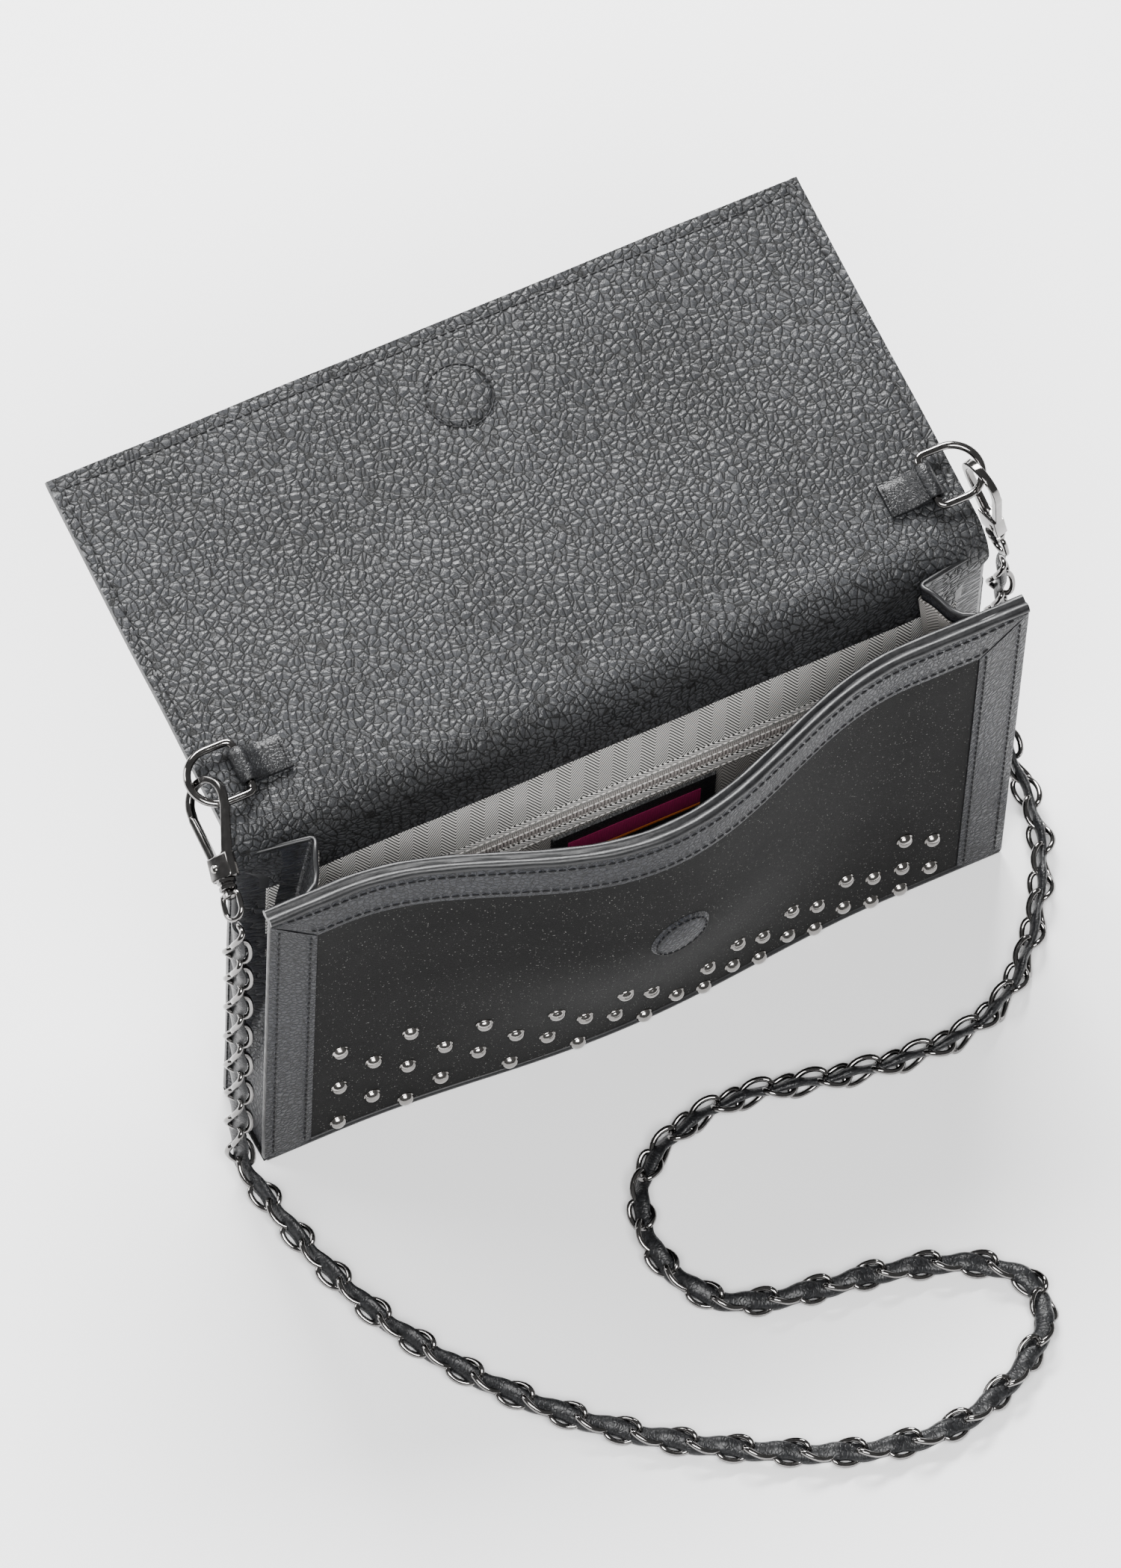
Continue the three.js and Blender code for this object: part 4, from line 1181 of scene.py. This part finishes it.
HOOK_PLATE = [(-4.6, -19.0), (-4.7, -26.4), (-4.1, -27.4), (4.1, -27.4), (4.7, -26.4), (4.6, -19.0)]
HOOK_LEVER = [(-8.0, -2.8), (-6.9, -2.5), (-6.1, -3.8), (-1.9, -18.4), (-1.2, -24.4), (-3.6, -24.4),
              (-4.3, -18.6), (-8.2, -4.2)]
HOOK_COLLAR = [(2.0, -26.8), (3.3, -27.6), (3.3, -28.6), (2.6, -29.0), (2.6, -29.6), (3.1, -30.0),
               (3.1, -31.0), (2.4, -31.4)]
HOOK_PIN = [(0.1, -2.75), (1.0, -2.7), (1.45, -2.35), (1.5, -2.0), (1.5, 2.0), (1.45, 2.35), (1.0, 2.7),
            (0.1, 2.75)]
EYE_STEM = [(1.2, -29.0), (1.2, -32.2), (2.2, -32.4), (2.4, -33.4), (1.6, -34.0)]


def add_hooks():
    for side in ("left", "right"):
        m = hook_matrix(side)
        outline, hole = hook_outline()
        body = extruded(f"hook_frame_{side}", m, outline, -1.35, 1.35, GUNMETAL, holes=[hole])
        plate = extruded(f"hook_plate_{side}", m, HOOK_PLATE, -2.2, 2.2, GUNMETAL, bevel=0.5)
        collar = lathe(f"hook_collar_{side}", m, HOOK_COLLAR, GUNMETAL)
        gate = extruded(f"hook_lever_{side}", m, HOOK_LEVER, 0.35, 1.75, GUNMETAL, bevel=0.3)
        rivet_frame = m @ Matrix.Translation(Vector((-2, -23, 0))) @ Matrix.Rotation(math.pi / 2, 4, "X")
        rivet = lathe(f"hook_pin_{side}", rivet_frame, HOOK_PIN, STUD_METAL)
        stem = lathe(f"eye_stem_{side}", m, EYE_STEM, GUNMETAL)
        bend = [(-3.3, -32.6, 0), (-3.7, -34.5, 0), (-3.7, -37.5, 0)]
        bend += [(3.7 * math.cos(a), -37.6 + 3.6 * math.sin(a), 0)
                 for a in np.linspace(math.pi, 2 * math.pi, 14)]
        bend += [(3.7, -37.5, 0), (3.7, -34.5, 0), (3.3, -32.6, 0), (1.4, -32.2, 0), (-1.4, -32.2, 0)]
        path = placed(m, resample(bend + [bend[0]], 0.9)[:-1])
        eye = tube(f"eye_loop_{side}", path, 0.95, GUNMETAL, closed=True, up=m.to_3x3() @ Vector((0, 0, 1)))
        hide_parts(f"hook_body_{side}")
        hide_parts(f"hook_gate_{side}")
        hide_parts(f"hook_rivet_{side}")
        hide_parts(f"hook_eye_{side}")
        riders = ((body, "hook"), (plate, "hook"), (collar, "hook"), (rivet, "hook"), (gate, "gate"),
                  (stem, "eye"), (eye, "eye"))
        for piece, body_name in riders:
            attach(piece, f"{body_name}_{side}")


# ---------------------------------------------------------------- chain strap
CHAIN_LEFT = [
    (-149.5, -12, 158), (-150, -12, 145), (-149, -11.5, 120), (-149, -12, 85), (-148.5, -12.5, 50),
    (-148.5, -13, 25), (-148.5, -15, 10), (-147.5, -22, 5), (-145, -40, 5), (-140, -64, 5),
    (-130, -93, 5), (-113, -123, 5), (-89, -152, 5), (-60, -176, 5), (-25, -197, 5),
    (0, -206, 5), (24, -208, 5), (47, -201, 5), (64, -190, 5), (70, -180, 5), (70.2, -176.4, 5),
]
CHAIN_RIGHT = [
    (70.2, -175.6, 5), (70, -171.6, 5), (65, -163, 5), (50, -153, 5), (27, -146, 5), (3, -142, 5),
    (-18, -137, 5), (-31, -127, 5), (-38, -108, 5), (-35, -89, 5), (-23, -74, 5),
    (-2, -66, 5), (20, -66, 5), (46, -72, 5), (71, -76, 5), (94, -76, 5),
    (114, -69, 5), (131, -54, 5), (144, -37, 5), (153, -20, 5), (157, -2, 6),
    (157, 12, 14), (155.5, 20, 35), (154.5, 23, 65), (153.5, 23.5, 95), (152.8, 23.5, 123.5),
]
LINK_PITCH, LINK_STEPS = 9.45, 8
LINK_LONG, LINK_WIDE, LINK_WIRE, LINK_TWIST, LINK_SLANT = 5.6, 4.2, 1.02, 1.3, 0.75
STRIP_SIDES = 10


def chain_frames(route, start_on_floor):
    """Link places along a route, with an up direction carried from its end on the floor."""
    curve = smooth_curve(route)
    curve = curve[::-1] if start_on_floor == "end" else curve
    length = float(np.linalg.norm(np.diff(curve, axis=0), axis=1).sum())
    count = int(round(length / LINK_PITCH))
    return (*path_frames(resample(curve, length / (count * LINK_STEPS))), length)


def add_chain(side, route, start_on_floor):
    fine, tangent, across, up, length = chain_frames(route, start_on_floor)
    parts = []
    turn = np.linspace(0, 2 * math.pi, 26, endpoint=False)
    for number, at in enumerate(range(LINK_STEPS // 2, len(fine) - 3, LINK_STEPS)):
        t, w, n = tangent[at], across[at], up[at]
        on_top = number % 2 == 1
        tilt = math.radians(48 if on_top else -22)
        slant = LINK_SLANT if on_top else LINK_SLANT * 0.4
        wide = math.cos(tilt) * w + math.sin(tilt) * n
        normal = np.cross(t, wide)
        loop = [fine[at] + (LINK_LONG * math.cos(a) + slant * LINK_WIDE * math.sin(a)) * t
                + LINK_WIDE * math.sin(a) * wide + LINK_TWIST * math.sin(2 * a) * normal for a in turn]
        parts.append(tube_arrays(loop, LINK_WIRE, 8, closed=True, up=normal))
    verts, faces = join_arrays(parts)
    links = new_object(f"chain_links_{side}", verts, faces, [GUNMETAL], sharp=80)
    strip_path, sizes = [], []
    for at in range(len(fine)):
        phase = (at - LINK_STEPS) / (2 * LINK_STEPS) * 2 * math.pi
        lift = 0.9 * math.cos(phase)
        strip_path.append(fine[at] + lift * up[at] + 0.3 * math.sin(phase) * across[at])
        plump = 0.5 + 0.5 * math.cos(2 * phase)
        sizes.append((3.1 + 0.3 * plump, 1.4 + 0.3 * plump))
    verts, faces = tube_arrays(strip_path, sizes, STRIP_SIDES, up=tuple(up[0]))
    run = np.repeat(np.arange(len(fine)) * length / len(fine), STRIP_SIDES)
    turn_uv = np.tile(np.arange(STRIP_SIDES) * 1.1, len(fine))
    uvs = np.stack([turn_uv, run], 1)
    strip = new_object(f"chain_strip_{side}", verts, faces, [STRAP], uvs=uvs, sharp=80)
    path = [tuple(p * MM) for p in fine[::2]]
    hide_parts(f"chain_{side}")
    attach(links, "bag")
    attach(strip, "bag")
    return links, strip


# ---------------------------------------------------------------- hidden CAD pieces, stage and light
def dress_kept_nodes():
    looks = {"base_board": BOARD, "zip_pocket_bag": POCKET, "zip_stop_left": GUNMETAL,
             "zip_stop_right": GUNMETAL}
    for name, look in looks.items():
        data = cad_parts[name].data
        data.materials.clear()
        data.materials.append(look)


def add_stage():
    g = Graph("pale_floor", Roughness=0.9, Specular_IOR_Level=0.1)
    tone = g.noise(g.solid(), 400.0, detail=1)
    look = g.finish(g.blend(tone, (0.95, 0.95, 0.955), (0.97, 0.97, 0.975)))
    half = 3000
    points = [(-half, -half, 0), (half, -half, 0), (half, half, 0), (-half, half, 0)]
    floor = new_object("floor", points, [(0, 1, 2, 3)], [look])


def add_light(name, place, aim, size, energy, tint=(1, 1, 1)):
    data = bpy.data.lights.new(name, "AREA")
    data.shape = "RECTANGLE"
    data.size, data.size_y = size
    data.energy = energy
    data.color = tint
    light = bpy.data.objects.new(name, data)
    light.location = place
    light.rotation_euler = (Vector(aim) - Vector(place)).to_track_quat("-Z", "Y").to_euler()
    bpy.context.scene.collection.objects.link(light)


def add_lights():
    target = (0, 0, 0.08)
    add_light("back_top", (0.35, 1.25, 1.35), target, (1.1, 0.7), 115)
    add_light("back_left", (-1.1, 1.0, 0.8), target, (0.6, 0.9), 18)
    add_light("front_top", (-0.4, -0.9, 1.5), target, (1.2, 0.7), 55)
    world = bpy.data.worlds.new("studio")
    world.use_nodes = True
    world.node_tree.nodes["Background"].inputs[0].default_value = (1, 1, 1, 1)
    world.node_tree.nodes["Background"].inputs[1].default_value = 0.2
    bpy.context.scene.world = world


add_camera()
left_chain = add_chain("left", CHAIN_LEFT, "end")
add_chain("right", CHAIN_RIGHT, "start")
for obj in left_chain:
    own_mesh(obj)
add_back_roll()
add_flap()
add_flap_cover()
add_front_panel()
add_front_trims()
add_rim()
add_front_lining()
add_front_patch()
add_studs()
add_base()
add_back()
add_gussets()
add_inner_back()
add_zip()
add_slider()
add_label()
add_rings()
add_hooks()
dress_kept_nodes()
add_stage()
add_lights()
